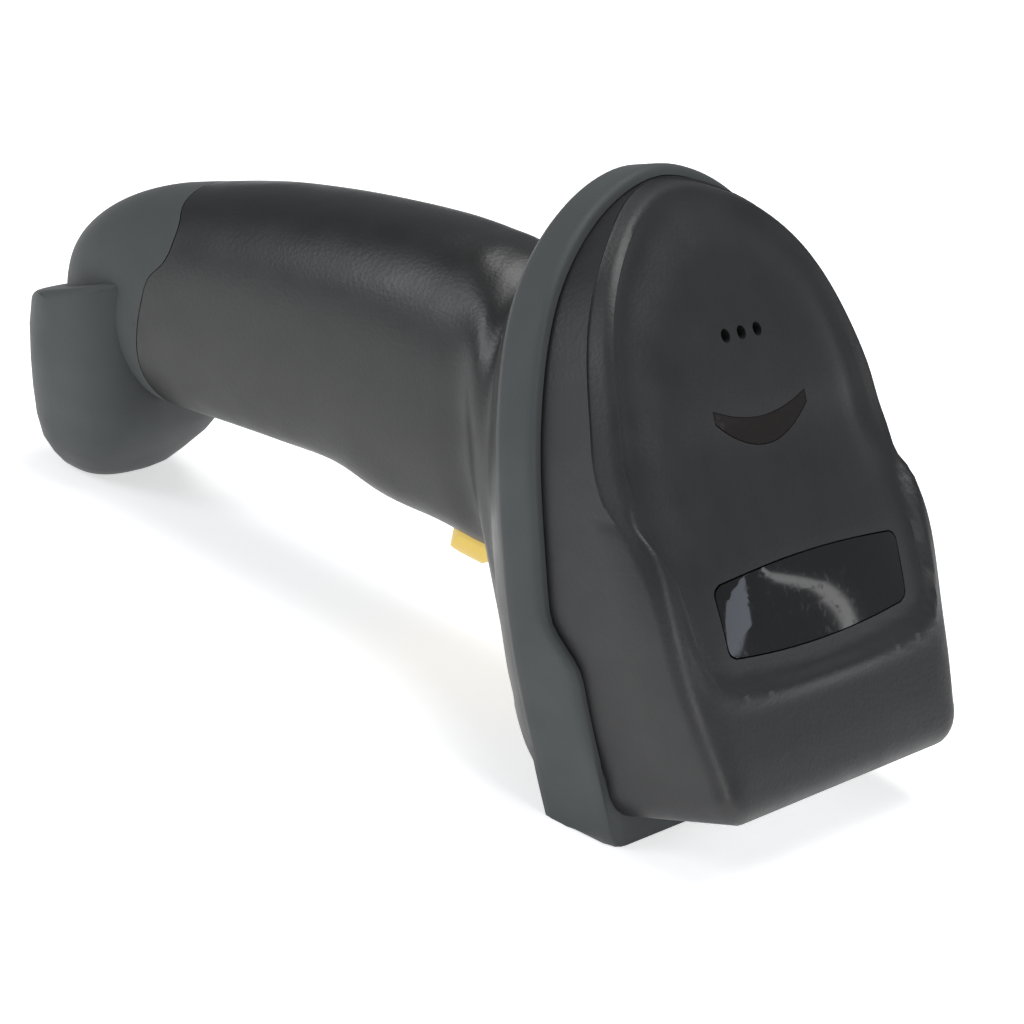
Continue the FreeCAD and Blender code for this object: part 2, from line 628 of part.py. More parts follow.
def main_board():
    points = [(-BOARD_HALF_WIDTH, BOARD_LOW), (BOARD_HALF_WIDTH, BOARD_LOW), (BOARD_HALF_WIDTH, BOARD_NECK - 8),
              (BOARD_TOP_HALF_WIDTH, BOARD_NECK), (BOARD_TOP_HALF_WIDTH, BOARD_HIGH),
              (-BOARD_TOP_HALF_WIDTH, BOARD_HIGH), (-BOARD_TOP_HALF_WIDTH, BOARD_NECK),
              (-BOARD_HALF_WIDTH, BOARD_NECK - 8)]
    wire = Part.makePolygon([V(BOARD_BACK, y, z) for y, z in points + points[:1]])
    board = extruded(wire, ALONG_X * BOARD_THICKNESS)
    for y, z in BOARD_POSTS:
        board = board.cut(rod(2.2, 4, V(BOARD_BACK - 1, y, z), ALONG_X))
    return in_head(board)


def on_board(y, z, width, height, thickness):
    """A component on the front of the main board, given by its centre and size."""
    front = BOARD_BACK + BOARD_THICKNESS
    return in_head(box(front, front + thickness, y - width / 2, y + width / 2, z - height / 2, z + height / 2))


def behind_board(y, z, width, height, thickness):
    return in_head(box(BOARD_BACK - thickness, BOARD_BACK, y - width / 2, y + width / 2,
                       z - height / 2, z + height / 2))


def shield_can():
    return on_board(-11, 42, 13, 13, 2.2)


def processor():
    return on_board(10, 40, 11, 11, 1.2)


def radio_module():
    return on_board(0, 72, 12, 9, 2.0)


def board_connectors():
    return [on_board(0, ENGINE_HIGH + 9, 12, 2.2, 1.0), behind_board(0, 60, 9, 4, 2.4), behind_board(12, 45, 6, 5, 4)]


# ---------------------------------------------------------------- trigger group

def trigger():
    """Finger lever: a lobe at its free end, a hollow for the finger, and a hub round the pin."""
    top = TRIGGER_TOP_Z
    lobe_x = TRIGGER_LOBE_X
    lobe_z = TRIGGER_LOBE_Z
    tip = TRIGGER_TIP_X + 0.4
    under = smooth([V(tip, 0, lobe_z + 8.0), V(tip + 1.1, 0, lobe_z + 2.6), V(lobe_x, 0, lobe_z),
                    V(lobe_x + 6.2, 0, lobe_z + 3.0), V(PIVOT_X - 3.5, 0, PIVOT_Z - 4.8),
                    V(PIVOT_X, 0, PIVOT_Z - HUB_RADIUS)])
    outline = Part.makePolygon([V(PIVOT_X, 0, PIVOT_Z - HUB_RADIUS), V(PIVOT_X, 0, PIVOT_Z),
                                V(PIVOT_X - 5, 0, top), V(tip + 2, 0, top), V(tip, 0, top - 1.5),
                                V(tip, 0, lobe_z + 8.0)])
    wire = Part.Wire([under] + outline.Edges)
    wire.translate(V(0, -TRIGGER_HALF_WIDTH, 0))
    lever = extruded(wire, ALONG_Y * (2 * TRIGGER_HALF_WIDTH))
    # its underside is rounded across, and its free end is rounded as seen from below
    half = TRIGGER_HALF_WIDTH
    belly = Part.Arc(V(0, -half, lobe_z + 5), V(0, 0, lobe_z - 0.05), V(0, half, lobe_z + 5)).toShape()
    roof = Part.makePolygon([V(0, half, lobe_z + 5), V(0, half, top + 9), V(0, -half, top + 9), V(0, -half, lobe_z + 5)])
    lever = lever.common(extruded(Part.Wire([belly] + roof.Edges), ALONG_X * (PIVOT_X + 20)))
    nose = Part.Arc(V(tip + 4, -half, 0), V(tip - 0.05, 0, 0), V(tip + 4, half, 0)).toShape()
    rear = Part.makePolygon([V(tip + 4, half, 0), V(PIVOT_X + 9, half, 0), V(PIVOT_X + 9, -half, 0), V(tip + 4, -half, 0)])
    lever = lever.common(extruded(Part.Wire([nose] + rear.Edges), ALONG_Z * (top + 20)))
    hub = rod(2 * HUB_RADIUS, 2 * TRIGGER_HALF_WIDTH, V(PIVOT_X, -TRIGGER_HALF_WIDTH, PIVOT_Z), ALONG_Y)
    lever = lever.fuse(hub)
    bore = PIN_DIAMETER + 2 * PIN_CLEARANCE
    lever = lever.cut(rod(bore, 40, V(PIVOT_X, -20, PIVOT_Z), ALONG_Y))
    lever = lever.cut(rod(2 * SPRING_RADIUS + 1.6, 10, V(SPRING_X, 0, spring_foot()), ALONG_Z))
    return keep_one(lever)


def trigger_pin():
    return rod(PIN_DIAMETER, PIN_LENGTH, V(PIVOT_X, -PIN_LENGTH / 2, PIVOT_Z), ALONG_Y)


def spring_foot():
    return TRIGGER_TOP_Z - 1.6


def trigger_spring():
    """Compression spring between the trigger and the carrier."""
    low = spring_foot() + SPRING_WIRE / 2 + 0.05
    high = CARRIER_Z - SPRING_WIRE / 2 - 0.05
    pitch = (high - low) / SPRING_TURNS
    helix = Part.makeHelix(pitch, high - low, SPRING_RADIUS)
    helix.translate(V(SPRING_X, 0, low))
    start = V(SPRING_X + SPRING_RADIUS, 0, low)
    tangent = V(0, 2 * math.pi * SPRING_RADIUS, pitch)
    section = Part.Wire([Part.makeCircle(SPRING_WIRE / 2, start, tangent)])
    return Part.Wire(helix.Edges).makePipeShell([section], True, True)


def switch_carrier():
    """Moulded plate across the handle that carries the switch board above the trigger."""
    plate = box(TRIGGER_TIP_X, PIVOT_X - 4, -40, 40, CARRIER_Z, CARRIER_Z + CARRIER_THICKNESS)
    return keep_one(plate.common(handle_tube(WALL + SEAM_GAP)))


def switch_board_low():
    return CARRIER_Z - SWITCH_BOARD_THICKNESS


def switch_board():
    return box(SWITCH_X - 5.5, SWITCH_X + 3.8, -5, 5, switch_board_low(), CARRIER_Z)


def trigger_switch():
    low = switch_board_low() - SWITCH_HEIGHT
    body = box(SWITCH_X - SWITCH_SIZE / 2, SWITCH_X + SWITCH_SIZE / 2, -SWITCH_SIZE / 2, SWITCH_SIZE / 2,
               low, switch_board_low())
    bore = PLUNGER_DIAMETER + 4 * MOVING_GAP
    return body.cut(rod(bore, SWITCH_HEIGHT - 0.6, V(SWITCH_X, 0, low - 0.01), ALONG_Z))


def switch_plunger():
    """Push post that stands on the trigger and reaches into the switch, which it tilts with."""
    low = switch_board_low() - SWITCH_HEIGHT
    return rod(PLUNGER_DIAMETER, low + 0.5 - TRIGGER_TOP_Z, V(SWITCH_X, 0, TRIGGER_TOP_Z), ALONG_Z)


# ---------------------------------------------------------------- battery and tail electronics

def cell_direction():
    return V(math.cos(math.radians(CELL_TILT)), 0, math.sin(math.radians(CELL_TILT)))


def battery_cell():
    start = V(CELL_TAIL_X, 0, CELL_TAIL_Z)
    can = rod(CELL_DIAMETER, CELL_LENGTH, start, cell_direction())
    return can.fuse(rod(5.5, 1.0, start + cell_direction() * CELL_LENGTH, cell_direction()))


def battery_cradle():
    """Trough under the cell, on two ribs that reach the handle wall."""
    start = V(CELL_TAIL_X, 0, CELL_TAIL_Z) + cell_direction() * 6
    outer = rod(CELL_DIAMETER + 2.6, CELL_LENGTH - 14, start, cell_direction())
    inner = rod(CELL_DIAMETER + 0.1, CELL_LENGTH, start - cell_direction() * 5, cell_direction())
    below = box(-90, 60, -30, 30, 0, CELL_TAIL_Z)
    below.rotate(V(CELL_TAIL_X, 0, CELL_TAIL_Z), ALONG_Y, -CELL_TILT)
    trough = outer.common(below).cut(inner)
    for x in (CELL_TAIL_X + 10, CELL_TAIL_X + 36):
        rib = box(x, x + 2, -11, 11, 15, CELL_TAIL_Z).common(handle_tube(WALL + SEAM_GAP))
        rib = rib.cut(rod(CELL_DIAMETER + 1.4, CELL_LENGTH, start - cell_direction() * 5, cell_direction()))
        trough = trough.fuse(rib.common(below))
    return keep_one(trough)


def battery_pad():
    start = V(CELL_TAIL_X, 0, CELL_TAIL_Z) - cell_direction() * 3
    return rod(CELL_DIAMETER - 3, 3, start, cell_direction())


def handle_flex():
    """Flat cable along the top of the cell, from the tail board to the main board."""
    lift = CELL_DIAMETER / 2 + 1.2
    tail = V(HANDLE_TAIL_X - 3, 0, CELL_TAIL_Z + lift - 0.5)
    head = V(CELL_TAIL_X, 0, CELL_TAIL_Z) + cell_direction() * (CELL_LENGTH + 4) + V(0, 0, lift)
    end = in_head(Part.Vertex(V(BOARD_BACK - 2.6, 0, 60))).Point
    points = [tail, head, end, end + V(0, 0, 0.4), head + V(0, 0, 0.4), tail + V(0, 0, 0.4)]
    wire = Part.makePolygon([V(p.x, -4, p.z) for p in points + points[:1]])
    return extruded(wire, ALONG_Y * 8)


def charge_board():
    return box(FOOT_END_X + 8.0, HANDLE_TAIL_X - 6, -6.6, 6.6, SOCKET_Z - CHARGE_BOARD_THICKNESS, SOCKET_Z)


def charge_socket():
    start = FOOT_END_X + 2.2
    shell = box(start, start + SOCKET_LENGTH, -SOCKET_HALF_WIDTH, SOCKET_HALF_WIDTH, SOCKET_Z, SOCKET_Z + SOCKET_HEIGHT)
    corners = [edge for edge in shell.Edges if abs(edge.Length - SOCKET_LENGTH) < 0.01]
    shell = shell.makeFillet(1.2, corners)
    mouth = box(start - 1, start + SOCKET_LENGTH - 1, -SOCKET_HALF_WIDTH + 0.35, SOCKET_HALF_WIDTH - 0.35,
                SOCKET_Z + 0.35, SOCKET_Z + SOCKET_HEIGHT - 0.35)
    middle = SOCKET_Z + SOCKET_HEIGHT / 2
    tongue = box(start + 1, start + SOCKET_LENGTH - 0.5, -3.2, 3.2, middle - 0.35, middle + 0.35)
    return shell.cut(mouth).fuse(tongue)


NODES = {
    "top_cover": top_cover,
    "bumper_ring": bumper_ring,
    "handle_body": handle_body,
    "tail_cap": tail_cap,
    "head_screws": head_screws,
    "board_screws": board_screws,
    "tail_screws": tail_screws,
    "engine_screws": engine_screws,
    "indicator_panel": indicator_panel,
    "status_lens": status_lens,
    "status_leds": status_leds,
    "beeper": beeper,
    "beeper_seal": beeper_seal,
    "scan_window": scan_window,
    "window_seal": window_seal,
    "engine_chassis": engine_chassis,
    "lens_barrel": lens_barrel,
    "imager_lens": imager_lens,
    "illumination_lenses": illumination_lenses,
    "illumination_leds": illumination_leds,
    "imager_board": imager_board,
    "image_sensor": image_sensor,
    "engine_bracket": engine_bracket,
    "engine_flex": engine_flex,
    "main_board": main_board,
    "shield_can": shield_can,
    "processor": processor,
    "radio_module": radio_module,
    "board_connectors": board_connectors,
    "trigger": trigger,
    "trigger_pin": trigger_pin,
    "trigger_spring": trigger_spring,
    "switch_carrier": switch_carrier,
    "switch_board": switch_board,
    "trigger_switch": trigger_switch,
    "switch_plunger": switch_plunger,
    "battery_cell": battery_cell,
    "battery_cradle": battery_cradle,
    "battery_pad": battery_pad,
    "handle_flex": handle_flex,
    "charge_board": charge_board,
    "charge_socket": charge_socket,
}

os.makedirs("parts", exist_ok=True)
for name, make in NODES.items():
    made = make()
    solids = made if isinstance(made, list) else made.Solids
    shape = solids[0] if len(solids) == 1 else Part.makeCompound(solids)
    shape.exportStep("parts/" + name + ".step")
    bounds = shape.optimalBoundingBox()
    print("%-20s solids %d valid %s volume %.0f  x %.1f %.1f  y %.1f %.1f  z %.1f %.1f" % (
        name, len(solids), shape.isValid(), shape.Volume, bounds.XMin, bounds.XMax,
        bounds.YMin, bounds.YMax, bounds.ZMin, bounds.ZMax))
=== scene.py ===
import math

import bmesh
import bpy
from mathutils import Matrix, Vector


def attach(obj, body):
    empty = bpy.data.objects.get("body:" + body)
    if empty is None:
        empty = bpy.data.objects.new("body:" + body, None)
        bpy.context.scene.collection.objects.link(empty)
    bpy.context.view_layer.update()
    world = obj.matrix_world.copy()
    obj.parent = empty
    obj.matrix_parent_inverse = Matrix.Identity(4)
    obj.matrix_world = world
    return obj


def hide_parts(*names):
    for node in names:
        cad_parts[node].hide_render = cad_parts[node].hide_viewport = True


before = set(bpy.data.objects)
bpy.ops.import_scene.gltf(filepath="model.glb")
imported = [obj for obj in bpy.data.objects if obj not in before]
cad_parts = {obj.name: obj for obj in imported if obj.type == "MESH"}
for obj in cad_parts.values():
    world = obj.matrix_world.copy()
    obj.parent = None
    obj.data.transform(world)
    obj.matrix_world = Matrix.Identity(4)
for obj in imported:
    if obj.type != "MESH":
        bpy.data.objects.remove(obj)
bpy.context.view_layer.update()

# Handheld barcode scanner, with +X towards the operator's side of the head and +Z up.
# Shapes are drawn in millimetres.  The head uses its own axes: depth in front of the parting plane,
# y across and height along the head.

PARTING_TILT = math.radians(21.6)
PARTING_X = 52.7
PARTING_Z = 2.3
HEAD_HALF_WIDTH = 37.34
HEAD_TOP = 89.4
BUMPER_PROUD = 1.8
HOUSING_FLOOR = 0.6
NOSE_FLOOR = -3.2
CHIN_DEPTH = 11.5
BUMPER_DEPTH = 7.3
ARCH_START = 10.0
NOSE_CORNER = 6.0
WALL = 2.2
SIDE_LEAN = 0.22
HOUSING_INSET = BUMPER_PROUD + 0.15      # the housings stand just inside the bumper
HEAD_SCREWS = ((27.0, 15.0), (-27.0, 15.0), (22.5, 66.0), (-22.5, 66.0))     # y and height
SCREW_WELL = 5.2
SOUND_HOLE_DIAMETER = 2.1
SOUND_HOLE_PITCH = 4.0
SOUND_HOLE_HEIGHT = 64.0


# ------------------------------------------------------------------ small helpers

def head_point(depth, y, height):
    """Place on the scanner, in metres, of a point given in head axes."""
    x = PARTING_X + depth * math.cos(PARTING_TILT) - height * math.sin(PARTING_TILT)
    z = PARTING_Z + depth * math.sin(PARTING_TILT) + height * math.cos(PARTING_TILT)
    return Vector((x, y, z)) * 0.001


def part_point(x, y, z):
    return Vector((x, y, z)) * 0.001


def read_curve(table, x):
    """Smooth curve through the (x, value) rows of a table."""
    if x <= table[0][0]:
        return table[0][1]
    if x >= table[-1][0]:
        return table[-1][1]
    i = max(k for k in range(len(table) - 1) if table[k][0] <= x)
    x0, v0 = table[i]
    x1, v1 = table[i + 1]
    before = table[i - 1] if i > 0 else table[i]
    after = table[i + 2] if i + 2 < len(table) else table[i + 1]
    slope0 = (v1 - before[1]) / (x1 - before[0])
    slope1 = (after[1] - v0) / (after[0] - x0)
    span = x1 - x0
    t = (x - x0) / span
    return ((2 * t ** 3 - 3 * t ** 2 + 1) * v0 + (t ** 3 - 2 * t ** 2 + t) * span * slope0
            + (3 * t ** 2 - 2 * t ** 3) * v1 + (t ** 3 - t ** 2) * span * slope1)


def between(a, b, t):
    return a + (b - a) * t


def ease(low, high, x):
    t = min(1.0, max(0.0, (x - low) / (high - low)))
    return t * t * (3 - 2 * t)


def new_piece(name, mesh_tool, material, node_names, body):
    """Turn a finished bmesh into a piece that rides on a body and stands for CAD nodes."""
    mesh = bpy.data.meshes.new(name)
    mesh_tool.to_mesh(mesh)
    mesh_tool.free()
    for polygon in mesh.polygons:
        polygon.use_smooth = True
    piece = bpy.data.objects.new(name, mesh)
    bpy.context.scene.collection.objects.link(piece)
    piece.data.materials.append(material)
    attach(piece, body)
    if node_names:
        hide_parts(*node_names)
    return piece


def start_loop(mesh_tool, places):
    """A closed loop of vertices and edges to extrude from."""
    verts = [mesh_tool.verts.new(place) for place in places]
    return verts, [mesh_tool.edges.new((verts[i], verts[(i + 1) % len(verts)])) for i in range(len(verts))]


def add_loop(mesh_tool, verts, edges, places):
    """Extrude a loop of edges and put its new vertices in their places."""
    made = bmesh.ops.extrude_edge_only(mesh_tool, edges=edges)["geom"]
    fresh = set(item for item in made if isinstance(item, bmesh.types.BMVert))
    following = []
    for vert in verts:
        following.append(next(e.other_vert(vert) for e in vert.link_edges if e.other_vert(vert) in fresh))
    for vert, place in zip(following, places):
        vert.co = place
    count = len(following)
    new_edges = [mesh_tool.edges.get((following[i], following[(i + 1) % count])) for i in range(count)]
    return following, new_edges


def loft(mesh_tool, loops, close_ends=(False, False)):
    """Skin through closed loops of places that all have the same count."""
    verts, edges = start_loop(mesh_tool, loops[0])
    if close_ends[0]:
        bmesh.ops.contextual_create(mesh_tool, geom=edges)
    for places in loops[1:]:
        verts, edges = add_loop(mesh_tool, verts, edges, places)
    if close_ends[1]:
        bmesh.ops.contextual_create(mesh_tool, geom=edges)


def tidy_mesh(mesh_tool, distance=0.00002):
    """Merge doubles, then turn every face outwards, on open skins too."""
    bmesh.ops.remove_doubles(mesh_tool, verts=mesh_tool.verts, dist=distance)
    bmesh.ops.recalc_face_normals(mesh_tool, faces=mesh_tool.faces)
    middle = sum((vert.co for vert in mesh_tool.verts), Vector()) / len(mesh_tool.verts)
    outward = sum(face.calc_area() * face.normal.dot(face.calc_center_median() - middle)
                  for face in mesh_tool.faces)
    if outward < 0:
        bmesh.ops.reverse_faces(mesh_tool, faces=mesh_tool.faces)


def baked(piece, modifiers):
    """Apply modifiers that need helper objects, and drop the helpers."""
    helpers = []
    for kind, settings, helper in modifiers:
        modifier = piece.modifiers.new(kind.lower(), kind)
        for key, value in settings.items():
            setattr(modifier, key, value)
        if helper:
            modifier.object = helper
            helpers.append(helper)
    evaluated = piece.evaluated_get(bpy.context.evaluated_depsgraph_get())
    mesh = bpy.data.meshes.new_from_object(evaluated)
    old = piece.data
    piece.modifiers.clear()
    piece.data = mesh
    mesh.name = piece.name
    bpy.data.meshes.remove(old)
    for helper in helpers:
        bpy.data.objects.remove(helper)


def cutter(name, mesh_tool):
    bmesh.ops.recalc_face_normals(mesh_tool, faces=mesh_tool.faces)
    mesh = bpy.data.meshes.new(name)
    mesh_tool.to_mesh(mesh)
    mesh_tool.free()
    tool = bpy.data.objects.new(name, mesh)
    bpy.context.scene.collection.objects.link(tool)
    return tool


def cut_with(tools):
    return [("BOOLEAN", {"operation": "DIFFERENCE", "solver": "EXACT"}, tool) for tool in tools]


def sharp_by_angle(piece, degrees=32):
    mesh_tool = bmesh.new()
    mesh_tool.from_mesh(piece.data)
    for edge in mesh_tool.edges:
        edge.smooth = len(edge.link_faces) != 2 or edge.calc_face_angle(0) < math.radians(degrees)
    for face in mesh_tool.faces:
        face.smooth = True
    mesh_tool.to_mesh(piece.data)
    mesh_tool.free()


# ------------------------------------------------------------------ materials

def shader_of(material):
    material.use_nodes = True
    tree = material.node_tree
    return tree, tree.nodes["Principled BSDF"]


def grain(tree, scale, detail, low, high, low_value, high_value):
    """Noise on object coordinates, brought to a range of values."""
    coordinates = tree.nodes.new("ShaderNodeTexCoord")
    noise = tree.nodes.new("ShaderNodeTexNoise")
    noise.inputs["Scale"].default_value = scale
    noise.inputs["Detail"].default_value = detail
    tree.links.new(coordinates.outputs["Object"], noise.inputs["Vector"])
    span = tree.nodes.new("ShaderNodeMapRange")
    span.inputs["From Min"].default_value = low
    span.inputs["From Max"].default_value = high
    span.inputs["To Min"].default_value = low_value
    span.inputs["To Max"].default_value = high_value
    tree.links.new(noise.outputs["Fac"], span.inputs["Value"])
    return span


def moulded(name, colour, roughness, pebble=900.0, pebble_depth=0.00002, sheen=0.0, tint=0.12, specular=0.5,
            metallic=0.0):
    """Moulded or cast surface: fine pebble grain, slow colour change, scuffs that are a little smoother."""
    material = bpy.data.materials.new(name)
    tree, shader = shader_of(material)
    shader.inputs["Metallic"].default_value = metallic
    shader.inputs["Specular IOR Level"].default_value = specular
    shader.inputs["Sheen Weight"].default_value = sheen
    ramp = tree.nodes.new("ShaderNodeMix")
    ramp.data_type = "RGBA"
    ramp.inputs["A"].default_value = tuple(c * (1 - tint) for c in colour) + (1,)
    ramp.inputs["B"].default_value = tuple(min(1.0, c * (1 + tint)) for c in colour) + (1,)
    slow = grain(tree, 45.0, 2.0, 0.3, 0.7, 0.0, 1.0)
    tree.links.new(slow.outputs["Result"], ramp.inputs["Factor"])
    tree.links.new(ramp.outputs["Result"], shader.inputs["Base Color"])
    scuffs = grain(tree, 160.0, 3.0, 0.3, 0.75, roughness - 0.05, roughness + 0.06)
    tree.links.new(scuffs.outputs["Result"], shader.inputs["Roughness"])
    coordinates = tree.nodes.new("ShaderNodeTexCoord")
    cells = tree.nodes.new("ShaderNodeTexVoronoi")
    cells.feature = "F1"
    cells.inputs["Scale"].default_value = pebble
    tree.links.new(coordinates.outputs["Object"], cells.inputs["Vector"])
    bump = tree.nodes.new("ShaderNodeBump")
    bump.inputs["Strength"].default_value = 1.0
    bump.inputs["Distance"].default_value = pebble_depth
    tree.links.new(cells.outputs["Distance"], bump.inputs["Height"])
    tree.links.new(bump.outputs["Normal"], shader.inputs["Normal"])
    return material


def glossy(name, colour, roughness, alpha=1.0, ior=1.49):
    """Polished moulding or glass, with faint dust and slow ripple."""
    material = bpy.data.materials.new(name)
    tree, shader = shader_of(material)
    shader.inputs["IOR"].default_value = ior
    shader.inputs["Alpha"].default_value = alpha
    mix = tree.nodes.new("ShaderNodeMix")
    mix.data_type = "RGBA"
    mix.inputs["A"].default_value = tuple(c * 0.94 for c in colour) + (1,)
    mix.inputs["B"].default_value = tuple(min(1.0, c * 1.06) for c in colour) + (1,)
    slow = grain(tree, 60.0, 3.0, 0.3, 0.7, 0.0, 1.0)
    tree.links.new(slow.outputs["Result"], mix.inputs["Factor"])
    tree.links.new(mix.outputs["Result"], shader.inputs["Base Color"])
    dust = grain(tree, 900.0, 5.0, 0.55, 0.8, roughness, roughness + 0.08)
    tree.links.new(dust.outputs["Result"], shader.inputs["Roughness"])
    ripple = grain(tree, 30.0, 2.0, 0.0, 1.0, 0.0, 1.0)
    bump = tree.nodes.new("ShaderNodeBump")
    bump.inputs["Strength"].default_value = 0.3
    bump.inputs["Distance"].default_value = 0.00004
    tree.links.new(ripple.outputs["Result"], bump.inputs["Height"])
    tree.links.new(bump.outputs["Normal"], shader.inputs["Normal"])
    return material


def circuit(name):
    """Green solder mask with darker tracks."""
    material = bpy.data.materials.new(name)
    tree, shader = shader_of(material)
    coordinates = tree.nodes.new("ShaderNodeTexCoord")
    bricks = tree.nodes.new("ShaderNodeTexBrick")
    bricks.inputs["Scale"].default_value = 220.0
    bricks.inputs["Mortar Size"].default_value = 0.03
    bricks.inputs["Color1"].default_value = (0.012, 0.10, 0.035, 1)
    bricks.inputs["Color2"].default_value = (0.016, 0.13, 0.045, 1)
    bricks.inputs["Mortar"].default_value = (0.03, 0.20, 0.07, 1)
    tree.links.new(coordinates.outputs["Object"], bricks.inputs["Vector"])
    tree.links.new(bricks.outputs["Color"], shader.inputs["Base Color"])
    rough = grain(tree, 500.0, 4.0, 0.3, 0.7, 0.28, 0.42)
    tree.links.new(rough.outputs["Result"], shader.inputs["Roughness"])
    bump = tree.nodes.new("ShaderNodeBump")
    bump.inputs["Strength"].default_value = 0.5
    bump.inputs["Distance"].default_value = 0.00003
    tree.links.new(bricks.outputs["Fac"], bump.inputs["Height"])
    tree.links.new(bump.outputs["Normal"], shader.inputs["Normal"])
    return material


cover_plastic = moulded("cover_plastic", (0.014, 0.014, 0.015), 0.47, 1500.0, 0.000025, tint=0.07)
bumper_rubber = moulded("bumper_rubber", (0.042, 0.047, 0.048), 0.62, 1800.0, 0.00002, sheen=0.08, tint=0.09,
                        specular=0.4)
handle_plastic = moulded("handle_plastic", (0.012, 0.0118, 0.012), 0.38, 1500.0, 0.00002, tint=0.07)
tail_rubber = moulded("tail_rubber", (0.040, 0.045, 0.046), 0.60, 1800.0, 0.00002, sheen=0.08, tint=0.09,
                      specular=0.4)
trigger_plastic = moulded("trigger_plastic", (0.80, 0.56, 0.10), 0.38, 900.0, 0.000008, tint=0.04)
screw_steel = moulded("screw_steel", (0.42, 0.42, 0.43), 0.30, 600.0, 0.00001, metallic=1.0)
gloss_panel = glossy("gloss_panel", (0.006, 0.006, 0.007), 0.03)
smoke_lens = glossy("smoke_lens", (0.008, 0.006, 0.005), 0.05)
window_glass = glossy("window_glass", (0.75, 0.80, 0.82), 0.02, alpha=0.35, ior=1.5)
lens_glass = glossy("lens_glass", (0.45, 0.52, 0.75), 0.02, alpha=0.45, ior=1.52)
foam = moulded("foam", (0.02, 0.02, 0.02), 0.85, 700.0, 0.00006)
die_cast = moulded("die_cast", (0.45, 0.45, 0.47), 0.42, 500.0, 0.00002, metallic=1.0)
barrel_black = moulded("barrel_black", (0.012, 0.012, 0.013), 0.5, 900.0, 0.00001)
circuit_board = circuit("circuit_board")
chip_black = moulded("chip_black", (0.016, 0.016, 0.018), 0.48, 1600.0, 0.000008)
can_steel = moulded("can_steel", (0.60, 0.59, 0.55), 0.28, 500.0, 0.000008, metallic=1.0)
flex_cable = moulded("flex_cable", (0.45, 0.19, 0.035), 0.32, 400.0, 0.000006)
led_package = glossy("led_package", (0.80, 0.74, 0.45), 0.12)
spring_steel = moulded("spring_steel", (0.50, 0.50, 0.51), 0.24, 800.0, 0.000004, metallic=1.0)
carrier_plastic = moulded("carrier_plastic", (0.10, 0.10, 0.11), 0.45, 800.0, 0.00001)
cell_wrap = glossy("cell_wrap", (0.03, 0.14, 0.34), 0.22)
socket_steel = moulded("socket_steel", (0.55, 0.55, 0.54), 0.26, 700.0, 0.000005, metallic=1.0)

NODE_MATERIALS = {
    "head_screws": screw_steel, "board_screws": screw_steel, "tail_screws": screw_steel,
    "engine_screws": screw_steel, "indicator_panel": gloss_panel, "status_lens": smoke_lens,
    "status_leds": led_package, "beeper": barrel_black, "beeper_seal": foam, "scan_window": window_glass,
    "window_seal": foam, "engine_chassis": die_cast, "lens_barrel": barrel_black, "imager_lens": lens_glass,
    "illumination_lenses": lens_glass, "illumination_leds": led_package, "imager_board": circuit_board,
    "image_sensor": chip_black, "engine_bracket": can_steel, "engine_flex": flex_cable,
    "main_board": circuit_board, "shield_can": can_steel, "processor": chip_black, "radio_module": can_steel,
    "board_connectors": chip_black, "trigger": trigger_plastic, "trigger_pin": spring_steel,
    "trigger_spring": spring_steel, "switch_carrier": carrier_plastic, "switch_board": circuit_board,
    "trigger_switch": chip_black, "switch_plunger": carrier_plastic, "battery_cell": cell_wrap,
    "battery_cradle": carrier_plastic, "battery_pad": foam, "handle_flex": flex_cable,
    "charge_board": circuit_board, "charge_socket": socket_steel, "top_cover": cover_plastic,
    "bumper_ring": bumper_rubber, "handle_body": handle_plastic, "tail_cap": tail_rubber,
}
for node_name, node_material in NODE_MATERIALS.items():
    node_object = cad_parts[node_name]
    if not node_object.material_slots:
        node_object.data.materials.append(node_material)
    for material_slot in node_object.material_slots:
        material_slot.material = node_material


# ------------------------------------------------------------------ outline of the head

def outline(inset, floor, arch_count=56, flank_count=6, corner_count=8, base_count=14):
    """Closed outline of the head as (y, height), from the top round the +Y side and back."""
    half = HEAD_HALF_WIDTH - inset
    top = HEAD_TOP - inset
    corner_top = floor + NOSE_CORNER
    arch_start = max(ARCH_START, corner_top + 1)
    widest = max(0.38 * top, arch_start + 8)
    arch_y = half * (0.938 + 0.0042 * (arch_start - ARCH_START))
    side = arch_y - SIDE_LEAN * (arch_start - corner_top)
    inner = side - NOSE_CORNER
    knots = [Vector((-0.43 * half, 0.949 * top)), Vector((0, top)), Vector((0.43 * half, 0.949 * top)),
             Vector((0.765 * half, 0.824 * top)), Vector((0.945 * half, 0.63 * top)), Vector((half, widest)),
             Vector((0.987 * half, (arch_start + widest) / 2)), Vector((arch_y, arch_start))]
    knots.append(knots[-1] * 2 - knots[-2] + Vector((-0.6, 0)))
    lengths = [0.0]
    for a, b in zip(knots, knots[1:]):
        lengths.append(lengths[-1] + (b - a).length)
    across = [(s, k.x) for s, k in zip(lengths, knots)]
    along = [(s, k.y) for s, k in zip(lengths, knots)]
    right = []
    for i in range(arch_count):
        s = between(lengths[1], lengths[-2], i / arch_count)
        right.append((read_curve(across, s), read_curve(along, s)))
    for i in range(flank_count):
        t = i / flank_count
        right.append((between(arch_y, side, t), between(arch_start, corner_top, t)))
    for i in range(corner_count):
        angle = math.pi / 2 * i / corner_count
        right.append((inner + NOSE_CORNER * math.cos(angle), corner_top - NOSE_CORNER * math.sin(angle)))
    for i in range(base_count):
        right.append((between(inner, 0, i / base_count), floor))
    left = [(-y, h) for y, h in reversed(right[1:])]
    return right + [(0.0, floor)] + left


